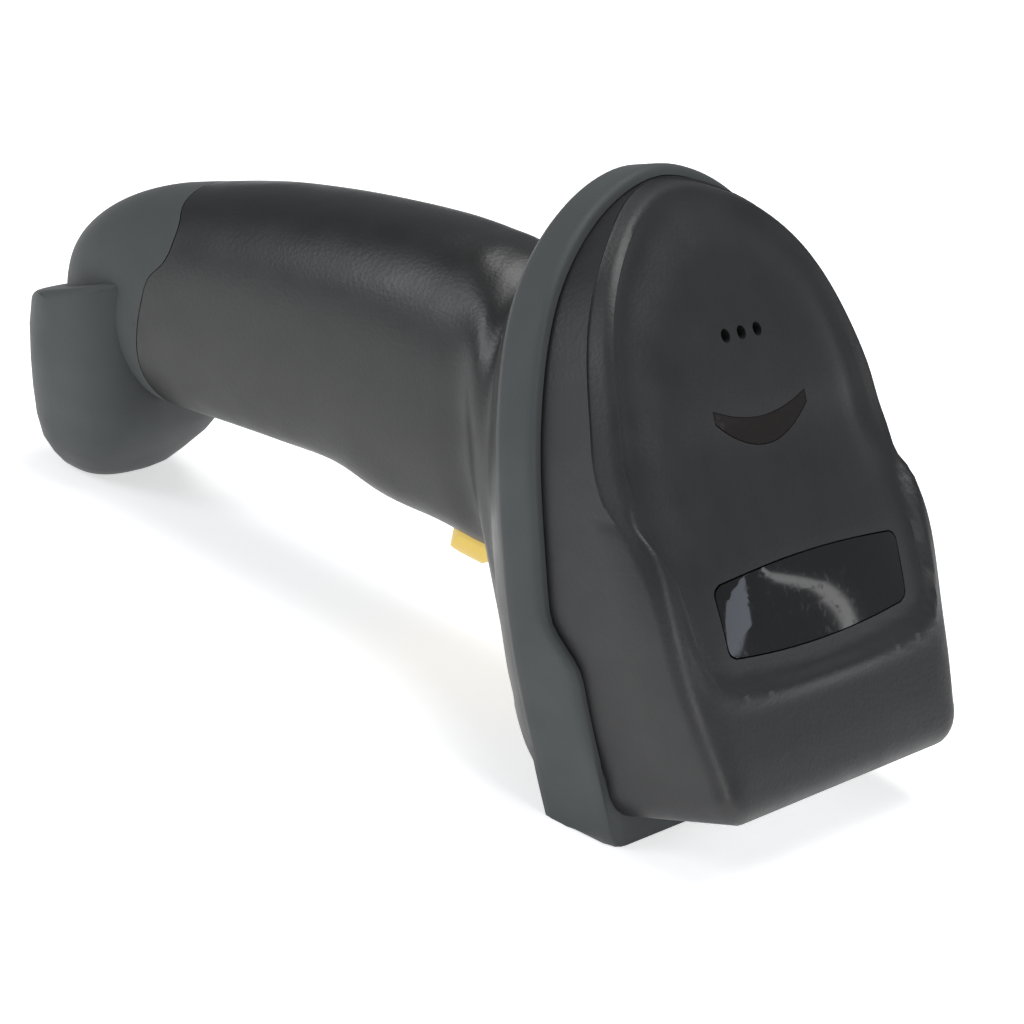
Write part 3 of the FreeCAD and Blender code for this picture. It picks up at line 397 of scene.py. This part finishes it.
def clear_of_rest(depth, height):
    """The chin is flat where it lies on the surface."""
    lowest = (0.02 - PARTING_Z - depth * math.sin(PARTING_TILT)) / math.cos(PARTING_TILT)
    return max(height, lowest)


# ------------------------------------------------------------------ bumper ring

def bumper_front(height):
    return BUMPER_DEPTH + (CHIN_DEPTH - BUMPER_DEPTH) * (1 - ease(19.0, 29.0, height))


def make_bumper():
    outer = outline(0, -9.0)
    inner = outline(BUMPER_PROUD, HOUSING_FLOOR)
    # distance in from the outside, depth, and 1 where the depth counts from the front instead of the back
    section = [(9.0, 0.0, 0), (0.95, 0.0, 0), (0.75, 0.08, 0), (0.12, 0.95, 0), (0.0, 1.3, 0), (0.0, 2.6, 0),
               (0.0, 3.6, 0), (0.0, -2.0, 1), (0.03, -1.2, 1), (0.22, -0.55, 1), (0.6, -0.12, 1),
               (1.1, 0.0, 1), (9.0, 0.0, 1), (9.0, -1.0, 1)]
    loops = []
    for inward, depth, from_front in section:
        places = []
        for (y0, h0), (y1, h1) in zip(outer, inner):
            thickness = math.hypot(y1 - y0, h1 - h0)
            share = 1.0 if inward > 5 else min(1.0, inward / thickness)
            y = between(y0, y1, share)
            height = between(h0, h1, share)
            reach = bumper_front(h0) + depth if from_front else depth
            places.append(head_point(reach, y, clear_of_rest(reach, height)))
        loops.append(places)
    loops.append(loops[0])
    tool = bmesh.new()
    loft(tool, loops)
    tidy_mesh(tool)
    ring = new_piece("bumper_rubber_ring", tool, bumper_rubber, ["bumper_ring"], "scanner")
    sharp_by_angle(ring, 40)


# ------------------------------------------------------------------ top cover

# height and depth along the middle of the operator's face
FACE_MIDDLE = [(-6, 33.6), (-3.2, 33.1), (6, 31.9), (17.5, 30.0), (32.2, 27.9), (39.1, 25.5), (47.7, 22.5),
               (55.5, 21.3), (63.9, 19.4), (70.3, 17.7), (76.3, 15.8), (80.75, 14.1), (83, 12.9), (85, 11.5),
               (87.6, 9.6)]
EDGE_STEPS = [0, 0.3, 1.5, 3, 5, 8, 10.5, 14, 20]
# how far the face lies behind its middle line: one row per height of the outline, one value per edge step
FACE_DROP = [
    (-3.2, [2.6, 1.9, 0.7, 0.25, 0.1, 0, 0, 0, 0]),
    (6.0, [2.8, 2.1, 0.9, 0.4, 0.1, 0, 0, 0, 0]),
    (18.0, [2.9, 2.2, 1.0, 0.5, 0.2, 0.1, 0, 0, 0]),
    (32.0, [3.3, 2.6, 1.0, 0.9, 1.0, 0.8, 0.5, 0.2, 0]),
    (40.0, [4.9, 4.1, 1.6, 1.5, 1.7, 1.3, 0.8, 0.3, 0]),
    (48.0, [5.6, 4.9, 1.7, 2.2, 2.6, 1.9, 1.0, 0.3, 0]),
    (66.0, [4.7, 4.3, 1.5, 2.0, 2.1, 1.1, 0.4, 0, 0]),
    (77.0, [3.2, 2.8, 1.0, 1.5, 1.6, 0.8, 0.2, 0, 0]),
    (84.0, [2.8, 2.4, 0.9, 1.3, 1.5, 0.8, 0.2, 0, 0]),
    (87.6, [2.6, 2.2, 0.8, 1.2, 1.4, 0.8, 0.2, 0, 0]),
]
# half of the crease round the zone that holds the panel and the light, as (y, height)
CREASE = [(35.4, 47.0), (35.0, 43.5), (33.8, 40.0), (31.8, 36.8), (30.6, 33.0), (30.2, 29.0), (29.8, 24.0),
          (29.0, 20.0), (27.2, 17.4), (24.0, 16.2), (18.0, 15.5), (9.0, 15.0), (0.0, 14.9)]


def face_drop(edge, outline_height):
    columns = []
    for height, drops in FACE_DROP:
        columns.append((height, read_curve(list(zip(EDGE_STEPS, drops)), edge)))
    return read_curve(columns, outline_height)


def crease_relief(y, height):
    """Soft step along the crease: the zone inside it lies a little lower."""
    across = abs(y)
    nearest = 99.0
    side = 1.0
    for (y0, h0), (y1, h1) in zip(CREASE, CREASE[1:]):
        run = Vector((y1 - y0, h1 - h0))
        offset = Vector((across - y0, height - h0))
        t = min(1.0, max(0.0, offset.dot(run) / run.length_squared))
        gap = (offset - run * t).length
        if gap < nearest:
            nearest = gap
            side = 1.0 if run.x * offset.y - run.y * offset.x > 0 else -1.0
    fade = 1 - ease(40.0, 47.0, height)
    inside = ease(-0.9, 0.9, -side * nearest)
    ridge = math.exp(-((nearest * side - 1.2) / 1.3) ** 2)
    return fade * (0.5 * ridge - 0.9 * inside * math.exp(-nearest / 9.0))


def outline_nearest(points, y, height):
    """Distance to the outline and the height of its nearest point."""
    best = (99.0, height)
    for (y0, h0), (y1, h1) in zip(points, points[1:] + points[:1]):
        run_y = y1 - y0
        run_h = h1 - h0
        length = run_y * run_y + run_h * run_h
        t = min(1.0, max(0.0, ((y - y0) * run_y + (height - h0) * run_h) / length))
        gap = math.hypot(y - y0 - run_y * t, height - h0 - run_h * t)
        if gap < best[0]:
            best = (gap, h0 + run_h * t)
    return best


COVER_OUTLINE = outline(HOUSING_INSET, NOSE_FLOOR)
# height on the middle line that the loops close onto, for each height of the outline
SPINE = [(-3.2, 14.0), (9.0, 16.0), (18.0, 20.0), (32.0, 32.0), (42.0, 39.7), (52.0, 45.5), (58.0, 48.7),
         (65.5, 52.5), (73.7, 55.5), (89.0, 56.5)]


def face_place(y, height):
    edge, outline_height = outline_nearest(COVER_OUTLINE, y, height)
    return read_curve(FACE_MIDDLE, height) - face_drop(edge, outline_height) + crease_relief(y, height)


def make_cover():
    count = len(COVER_OUTLINE)
    normals = []
    for i in range(count):
        a = COVER_OUTLINE[i - 1]
        b = COVER_OUTLINE[(i + 1) % count]
        length = math.hypot(b[0] - a[0], b[1] - a[1])
        normals.append(((b[1] - a[1]) / length, -(b[0] - a[0]) / length))
    insets = [0.3, 0.55, 0.85, 1.2, 1.7, 2.3, 3.0, 3.8, 4.6]
    loops = []
    inner_outline = outline(HOUSING_INSET, HOUSING_FLOOR)
    edge_depths = [face_place(y, h) for y, h in COVER_OUTLINE]
    for depth, back in ((3.6, 3.6), (5.0, 3.0), (9.0, 2.2), (CHIN_DEPTH + 0.1, 1.6)):
        loops.append([head_point(min(depth, edge - back), y, h)
                      for (y, h), edge in zip(inner_outline, edge_depths)])
    for share in (0.0, 0.05, 0.5, 1.0):
        loops.append([head_point(between(min(CHIN_DEPTH + 0.15, edge - 1.2), edge, share), y, h)
                      for (y, h), edge in zip(COVER_OUTLINE, edge_depths)])
    # a fine groove runs along the edge, where the side turns into the shoulder
    last = COVER_OUTLINE
    for inset in insets:
        places = []
        last = []
        for (y, h), (across, up) in zip(COVER_OUTLINE, normals):
            point = (y + across * inset, h + up * inset)
            last.append(point)
            depth = face_place(point[0], point[1])
            groove = 0.8 * math.exp(-((inset - 0.42) / 0.22) ** 2) * ease(38.0, 44.0, h)
            places.append(head_point(depth - groove, point[0], point[1]))
        loops.append(places)
    steps = 26
    for k in range(1, steps + 1):
        share = k / steps
        places = []
        for (y, h), (_, outline_height) in zip(last, COVER_OUTLINE):
            spine = read_curve(SPINE, outline_height)
            point = (between(y, 0, share), between(h, spine, share))
            places.append(head_point(face_place(point[0], point[1]), point[0], point[1]))
        loops.append(places)
    tool = bmesh.new()
    loft(tool, loops)
    tidy_mesh(tool)
    return new_piece("cover_shell", tool, cover_plastic, ["top_cover"], "scanner")


def column(points, depth_min, depth_max):
    """Prism through the face over an outline of (y, height) points."""
    tool = bmesh.new()
    loops = [[head_point(depth, y, h) for y, h in points] for depth in (depth_min, depth_max)]
    loft(tool, loops, (True, True))
    return tool


def panel_points(grow):
    """Barrel outline of the dark panel with round corners."""
    half = 23.0 + grow
    wide = half * 1.02
    low = 18.8 - grow
    high = 30.4 + grow
    low_rise = 1.4
    crown = 1.2
    corner = 1.6
    steps = 12
    turns = [math.pi / 2 * k / 5 for k in range(1, 5)]
    low_corner = low + low_rise + corner
    points = []
    for k in range(steps + 1):
        y = between(-half + corner, half - corner, k / steps)
        points.append((y, low + low_rise * (y / half) ** 2))
    for angle in turns:
        points.append((half - corner + corner * math.sin(angle), low_corner - corner * math.cos(angle)))
    points.append((half, low_corner))
    points.append((wide, high - corner))
    for angle in turns:
        points.append((wide - corner + corner * math.cos(angle), high - corner + corner * math.sin(angle)))
    for k in range(steps + 1):
        y = between(wide - corner, corner - wide, k / steps)
        points.append((y, high + crown - crown * (y / wide) ** 2))
    for angle in turns:
        points.append((corner - wide - corner * math.sin(angle), high - corner + corner * math.cos(angle)))
    points.append((-wide, high - corner))
    points.append((-half, low_corner))
    for angle in turns:
        points.append((corner - half - corner * math.cos(angle), low_corner - corner * math.sin(angle)))
    return points


def smile_points(grow):
    """Outline of the crescent light, with blunt tips."""
    half = 11.6 + grow
    steps = 20
    lower = []
    upper = []
    for k in range(steps + 1):
        y = between(-half, half, k / steps)
        share = abs(y / half) ** 2.0
        lower.append((y, 47.6 - grow + 4.5 * share))
        upper.append((y, 51.6 + grow + 2.3 * share))
    return lower + upper[::-1]


def rod_tool(diameter, y, height, depth_min, depth_max, segments=32):
    points = []
    for k in range(segments):
        angle = 2 * math.pi * k / segments
        points.append((y + diameter / 2 * math.cos(angle), height + diameter / 2 * math.sin(angle)))
    return column(points, depth_min, depth_max)


def make_face():
    cover = make_cover()
    modifiers = [("SOLIDIFY", {"thickness": WALL * 0.001, "offset": -1.0}, None)]
    window = [(-22.1, -9.0), (22.1, -9.0), (22.1, 3.0), (-22.1, 3.0)]
    tools = [cutter("panel_pocket", column(panel_points(0.22), 21.0, 50.0)),
             cutter("light_pocket", column(smile_points(0.12), 12.0, 50.0)),
             cutter("window_pocket", column(window, 15.3, 26.0))]
    for index in (-1, 0, 1):
        hole = rod_tool(SOUND_HOLE_DIAMETER, index * SOUND_HOLE_PITCH, SOUND_HOLE_HEIGHT, 10.0, 40.0)
        tools.append(cutter("sound_hole", hole))
    baked(cover, modifiers + cut_with(tools))
    sharp_by_angle(cover, 38)


def plate(name, outline_points, rise, thickness, material, nodes):
    """A thin piece that follows the face inside an outline."""
    tool = bmesh.new()
    verts, edges = start_loop(tool, [head_point(face_place(y, h) + rise, y, h) for y, h in outline_points])
    middle_h = sum(h for _, h in outline_points) / len(outline_points)
    for share in (0.985, 0.95, 0.8, 0.6, 0.4, 0.2):
        places = []
        for y, h in outline_points:
            across = y * (1 - (1 - share) * 0.62) if share > 0.9 else y * (0.55 + 0.45 * share)
            height = between(middle_h, h, share)
            places.append(head_point(face_place(across, height) + rise, across, height))
        verts, edges = add_loop(tool, verts, edges, places)
    bmesh.ops.contextual_create(tool, geom=edges)
    bmesh.ops.remove_doubles(tool, verts=tool.verts, dist=0.00001)
    outward = head_point(1, 0, 0) - head_point(0, 0, 0)
    if sum(face.normal.dot(outward) * face.calc_area() for face in tool.faces) < 0:
        bmesh.ops.reverse_faces(tool, faces=tool.faces)
    piece = new_piece(name, tool, material, nodes, "scanner")
    baked(piece, [("SOLIDIFY", {"thickness": thickness * 0.001, "offset": -1.0}, None)])
    sharp_by_angle(piece, 38)


# ------------------------------------------------------------------ handle

# x, underside, top and half width of the handle
HANDLE_SHAPE = [(-62.0, 17.0, 54.0, 15.6), (-55.0, 17.6, 57.0, 15.6), (-40.6, 19.5, 61.5, 15.8),
                (-27.3, 21.0, 64.5, 16.0), (-13.0, 22.0, 67.0, 16.0), (-5.0, 20.4, 67.9, 16.1),
                (4.0, 21.0, 68.2, 16.3), (13.0, 20.9, 68.3, 16.6), (24.0, 20.7, 68.2, 17.0)]
LOOP_COUNT = len(COVER_OUTLINE)


def handle_row(x):
    return [read_curve([(row[0], row[k]) for row in HANDLE_SHAPE], x) for k in (1, 2, 3)]


def handle_loop(x_middle, lean, power=2.35):
    """Section of the handle, leaning back by an angle, as places round from the top over +Y."""
    places = []
    for i in range(LOOP_COUNT):
        angle = 2 * math.pi * i / LOOP_COUNT
        c = math.cos(angle)
        s = math.sin(angle)
        up = math.copysign(abs(c) ** (2 / power), c)
        x = x_middle - math.tan(lean) * up * 23.5
        low, top, half = handle_row(x)
        y = half * math.copysign(abs(s) ** (2 / power), s)
        places.append(Vector((x, y, (low + top) / 2 + (top - low) / 2 * up)))
    return places


def bowl_loop(depth, inset, floor):
    return [head_point(depth, y, h) * 1000 for y, h in outline(inset, floor)]


def blend_loops(keys, steps):
    """Smooth series of loops through key loops of vectors."""
    loops = []
    for i in range(len(keys) - 1):
        before = keys[max(0, i - 1)]
        after = keys[min(len(keys) - 1, i + 2)]
        for k in range(steps):
            t = k / steps
            loop = []
            for p0, p1, p2, p3 in zip(before, keys[i], keys[i + 1], after):
                loop.append(0.5 * ((2 * p1) + (p2 - p0) * t + (2 * p0 - 5 * p1 + 4 * p2 - p3) * t * t
                                   + (3 * p1 - p0 - 3 * p2 + p3) * t ** 3))
            loops.append(loop)
    loops.append(keys[-1])
    return loops


# height and x of the seam between the handle and the tail: it steps forward near the middle
SEAM = [(17.0, -52.5), (20.0, -53.8), (25.0, -55.6), (30.0, -56.2), (38.0, -56.2), (42.0, -55.7),
        (44.5, -53.6), (47.0, -53.0), (51.0, -53.8), (54.0, -56.0), (57.5, -57.6)]
SEAM_MIDDLE_X = -55.0


def seam_loop(gap):
    low0, top0, half0 = handle_row(SEAM_MIDDLE_X)
    places = []
    for place in handle_loop(SEAM_MIDDLE_X, 0.0):
        x = read_curve(SEAM, place.z) + gap
        low, top, half = handle_row(x)
        share = (place.z - low0) / (top0 - low0)
        places.append(Vector((x, place.y * half / half0, between(low, top, share))))
    return places


def make_handle():
    flare = handle_loop(12.5, PARTING_TILT)
    bowl_end = bowl_loop(-13.0, 14.6, 13.6)
    keys = [seam_loop(0.0), handle_loop(-50.0, 0.0), handle_loop(-42.0, 0.0), handle_loop(-30.0, 0.0),
            handle_loop(-18.0, 0.02), handle_loop(-8.0, 0.08), handle_loop(0.0, 0.2), handle_loop(6.0, 0.3),
            flare, [between(a, b, 0.45) for a, b in zip(flare, bowl_end)], bowl_end,
            bowl_loop(-8.06, 8.6, 7.2), bowl_loop(-4.0, 4.6, 3.2), bowl_loop(-0.1, HOUSING_INSET, HOUSING_FLOOR),
            bowl_loop(3.3, HOUSING_INSET, HOUSING_FLOOR)]
    loops = blend_loops(keys, 5)
    tool = bmesh.new()
    loft(tool, [[p * 0.001 for p in loop] for loop in loops])
    tidy_mesh(tool)
    handle = new_piece("handle_shell", tool, handle_plastic, ["handle_body"], "scanner")
    slot_tool = bmesh.new()
    bmesh.ops.create_cube(slot_tool, size=1.0)
    bmesh.ops.scale(slot_tool, vec=Vector((25.3, 13.9, 26.4)) * 0.001, verts=slot_tool.verts)
    bmesh.ops.translate(slot_tool, vec=part_point(16.9, 0, 18.2), verts=slot_tool.verts)
    upright = [e for e in slot_tool.edges if abs(e.verts[0].co.z - e.verts[1].co.z) > 0.01]
    bmesh.ops.bevel(slot_tool, geom=upright, offset=0.002, segments=5, affect="EDGES", profile=0.5, material=-1)
    tools = [cutter("trigger_slot", slot_tool)]
    for y, h in HEAD_SCREWS:
        tools.append(cutter("screw_well", rod_tool(SCREW_WELL, y, h, -29.0, -4.0)))
    baked(handle, [("SOLIDIFY", {"thickness": WALL * 0.001, "offset": -1.0}, None)] + cut_with(tools))
    sharp_by_angle(handle, 38)


# ------------------------------------------------------------------ tail cap

# height, where the foot starts and ends along x, and its half width
FOOT_SHAPE = [(0.25, -67.5, -75.5, 6.0), (0.9, -65.5, -77.6, 9.0), (2.4, -63.6, -79.4, 10.6),
              (5.0, -61.6, -80.9, 12.8), (9.0, -58.6, -82.1, 14.9), (14.0, -56.0, -83.0, 16.7),
              (19.0, -55.6, -83.7, 17.9), (25.0, -57.0, -84.2, 18.9), (32.0, -58.4, -84.4, 19.2),
              (44.0, -59.5, -84.3, 19.2)]
# a point on the sloping top of the foot, and the way that it faces
FOOT_TOP = part_point(-59.5, 0, 39.6)
FOOT_TOP_NORMAL = Vector((-11.0, 0, 25.6)).normalized()
# x, underside, top and half width of the sleeve behind the seam
SLEEVE_SHAPE = [(-62.0, 17.6, 54.4, 15.4), (-67.0, 19.0, 52.4, 15.0), (-72.0, 21.2, 49.6, 14.0),
                (-76.0, 23.6, 46.4, 12.3), (-78.8, 26.0, 43.0, 9.8), (-80.0, 28.5, 39.5, 6.5),
                (-80.4, 31.5, 36.5, 2.6)]


def foot_loop(z, front, back, half, count=72):
    """Plan outline of the foot at one height: blunt in front, round at the tail."""
    places = []
    for i in range(count):
        angle = 2 * math.pi * i / count
        c = math.cos(angle)
        s = math.sin(angle)
        power = 2 / (3.6 if c > 0 else 2.2)
        middle = between(back, front, 0.42)
        reach = (front - middle) if c > 0 else (middle - back)
        x = middle + reach * math.copysign(abs(c) ** power, c)
        y = half * math.copysign(abs(s) ** (2 / 2.6), s)
        places.append(part_point(x, y, z))
    return places


def sleeve_loop(x, underside, crown, wide):
    places = []
    for i in range(LOOP_COUNT):
        angle = 2 * math.pi * i / LOOP_COUNT
        c = math.cos(angle)
        s = math.sin(angle)
        up = (crown - underside) / 2 * math.copysign(abs(c) ** 0.86, c)
        places.append(Vector((x, wide * math.copysign(abs(s) ** 0.86, s), (underside + crown) / 2 + up)))
    return places


def foot_block():
    """The foot, cut off along its sloping top, with a rounded rim."""
    foot = bmesh.new()
    loft(foot, [foot_loop(*row) for row in FOOT_SHAPE], (True, True))
    made = bmesh.ops.bisect_plane(foot, geom=foot.verts[:] + foot.edges[:] + foot.faces[:],
                                  plane_co=FOOT_TOP, plane_no=FOOT_TOP_NORMAL, clear_outer=True)
    rim = [item for item in made["geom_cut"] if isinstance(item, bmesh.types.BMEdge)]
    bmesh.ops.contextual_create(foot, geom=rim)
    tidy_mesh(foot, 0.00001)
    rim = [e for e in foot.edges if len(e.link_faces) == 2 and e.calc_face_angle(0) > 0.9
           and (e.verts[0].co - FOOT_TOP).dot(FOOT_TOP_NORMAL) > -1e-6]
    bmesh.ops.bevel(foot, geom=rim, offset=0.0013, segments=4, affect="EDGES", profile=0.5, material=-1)
    return foot


def make_tail():
    body = bmesh.new()
    loops = blend_loops([seam_loop(-0.2)] + [sleeve_loop(*row) for row in SLEEVE_SHAPE], 4)
    loft(body, [[p * 0.001 for p in loop] for loop in loops], (True, True))
    tidy_mesh(body, 0.00001)
    cap = new_piece("tail_rubber_cap", body, tail_rubber, ["tail_cap"], "scanner")
    union = ("BOOLEAN", {"operation": "UNION", "solver": "EXACT"}, cutter("foot_block", foot_block()))
    socket_tool = bmesh.new()
    bmesh.ops.create_cube(socket_tool, size=1.0)
    bmesh.ops.scale(socket_tool, vec=Vector((9.6, 9.4, 3.7)) * 0.001, verts=socket_tool.verts)
    bmesh.ops.translate(socket_tool, vec=part_point(-80.5, 0, 29.05), verts=socket_tool.verts)
    along = [e for e in socket_tool.edges if abs(e.verts[0].co.x - e.verts[1].co.x) > 0.005]
    bmesh.ops.bevel(socket_tool, geom=along, offset=0.0012, segments=5, affect="EDGES", profile=0.5, material=-1)
    baked(cap, [union] + cut_with([cutter("socket_mouth", socket_tool)]))
    sharp_by_angle(cap, 34)


make_bumper()
make_face()
plate("panel_front", panel_points(0.0), 0.02, 1.0, gloss_panel, ["indicator_panel"])
plate("smile_front", smile_points(0.0), 0.0, 1.6, smoke_lens, [])
make_handle()
make_tail()


# ------------------------------------------------------------------ floor, light and camera

def area_light(name, place, target, width, height, power, colour=(1, 1, 1)):
    light = bpy.data.lights.new(name, "AREA")
    light.shape = "RECTANGLE"
    light.size = width
    light.size_y = height
    light.energy = power
    light.color = colour
    lamp = bpy.data.objects.new(name, light)
    bpy.context.scene.collection.objects.link(lamp)
    direction = Vector(target) - Vector(place)
    lamp.matrix_world = Matrix.Translation(place) @ direction.to_track_quat("-Z", "Y").to_matrix().to_4x4()


def make_stage():
    floor_tool = bmesh.new()
    bmesh.ops.create_grid(floor_tool, x_segments=2, y_segments=2, size=3.0)
    mesh = bpy.data.meshes.new("floor")
    floor_tool.to_mesh(mesh)
    floor_tool.free()
    floor = bpy.data.objects.new("floor", mesh)
    bpy.context.scene.collection.objects.link(floor)
    paper = bpy.data.materials.new("floor_paper")
    tree, shader = shader_of(paper)
    shader.inputs["Base Color"].default_value = (0.95, 0.95, 0.95, 1)
    shader.inputs["Roughness"].default_value = 0.9
    shader.inputs["Emission Color"].default_value = (1, 1, 1, 1)
    shader.inputs["Emission Strength"].default_value = 0.6
    floor.data.materials.append(paper)
    world = bpy.data.worlds.new("studio")
    world.use_nodes = True
    bpy.context.scene.world = world
    nodes = world.node_tree.nodes
    links = world.node_tree.links
    ray = nodes.new("ShaderNodeLightPath")
    mix = nodes.new("ShaderNodeMix")
    mix.data_type = "RGBA"
    mix.inputs["A"].default_value = (0.24, 0.25, 0.26, 1)
    mix.inputs["B"].default_value = (1, 1, 1, 1)
    links.new(ray.outputs["Is Camera Ray"], mix.inputs["Factor"])
    links.new(mix.outputs["Result"], nodes["Background"].inputs["Color"])
    area_light("top_softbox", (0.05, 0.1, 0.9), (0, 0, 0.04), 0.7, 0.5, 5.8)
    area_light("left_softbox", (-0.5, -0.75, 0.5), (0, 0, 0.04), 0.35, 0.5, 3.0, (0.93, 0.96, 1.0))
    area_light("right_softbox", (0.9, -0.2, 0.35), (0.05, 0, 0.04), 0.25, 0.5, 2.2)
    area_light("panel_softbox", (0.842, 0.890, 0.252), (0.07, 0, 0.036), 0.10, 0.30, 0.16, (0.8, 0.87, 1.0))
    area_light("strip_light", (0.748, 0.967, 0.252), (0.07, 0, 0.036), 0.010, 0.30, 0.02)


def make_camera():
    camera_data = bpy.data.cameras.new("camera")
    camera_data.lens = 123.05
    camera_data.sensor_width = 36.0
    camera_data.clip_start = 0.01
    camera_data.clip_end = 20.0
    camera = bpy.data.objects.new("camera", camera_data)
    bpy.context.scene.collection.objects.link(camera)
    right = Vector((0.754212, 0.626970, 0.195123))
    up = Vector((-0.378254, 0.171939, 0.909593))
    back = Vector((0.536739, -0.759832, 0.366833))
    turn = Matrix((right, up, back)).transposed().to_4x4()
    camera.matrix_world = Matrix.Translation((0.30744, -0.41592, 0.22679)) @ turn
    bpy.context.scene.camera = camera
    bpy.context.scene.view_settings.view_transform = "Standard"


make_stage()
make_camera()
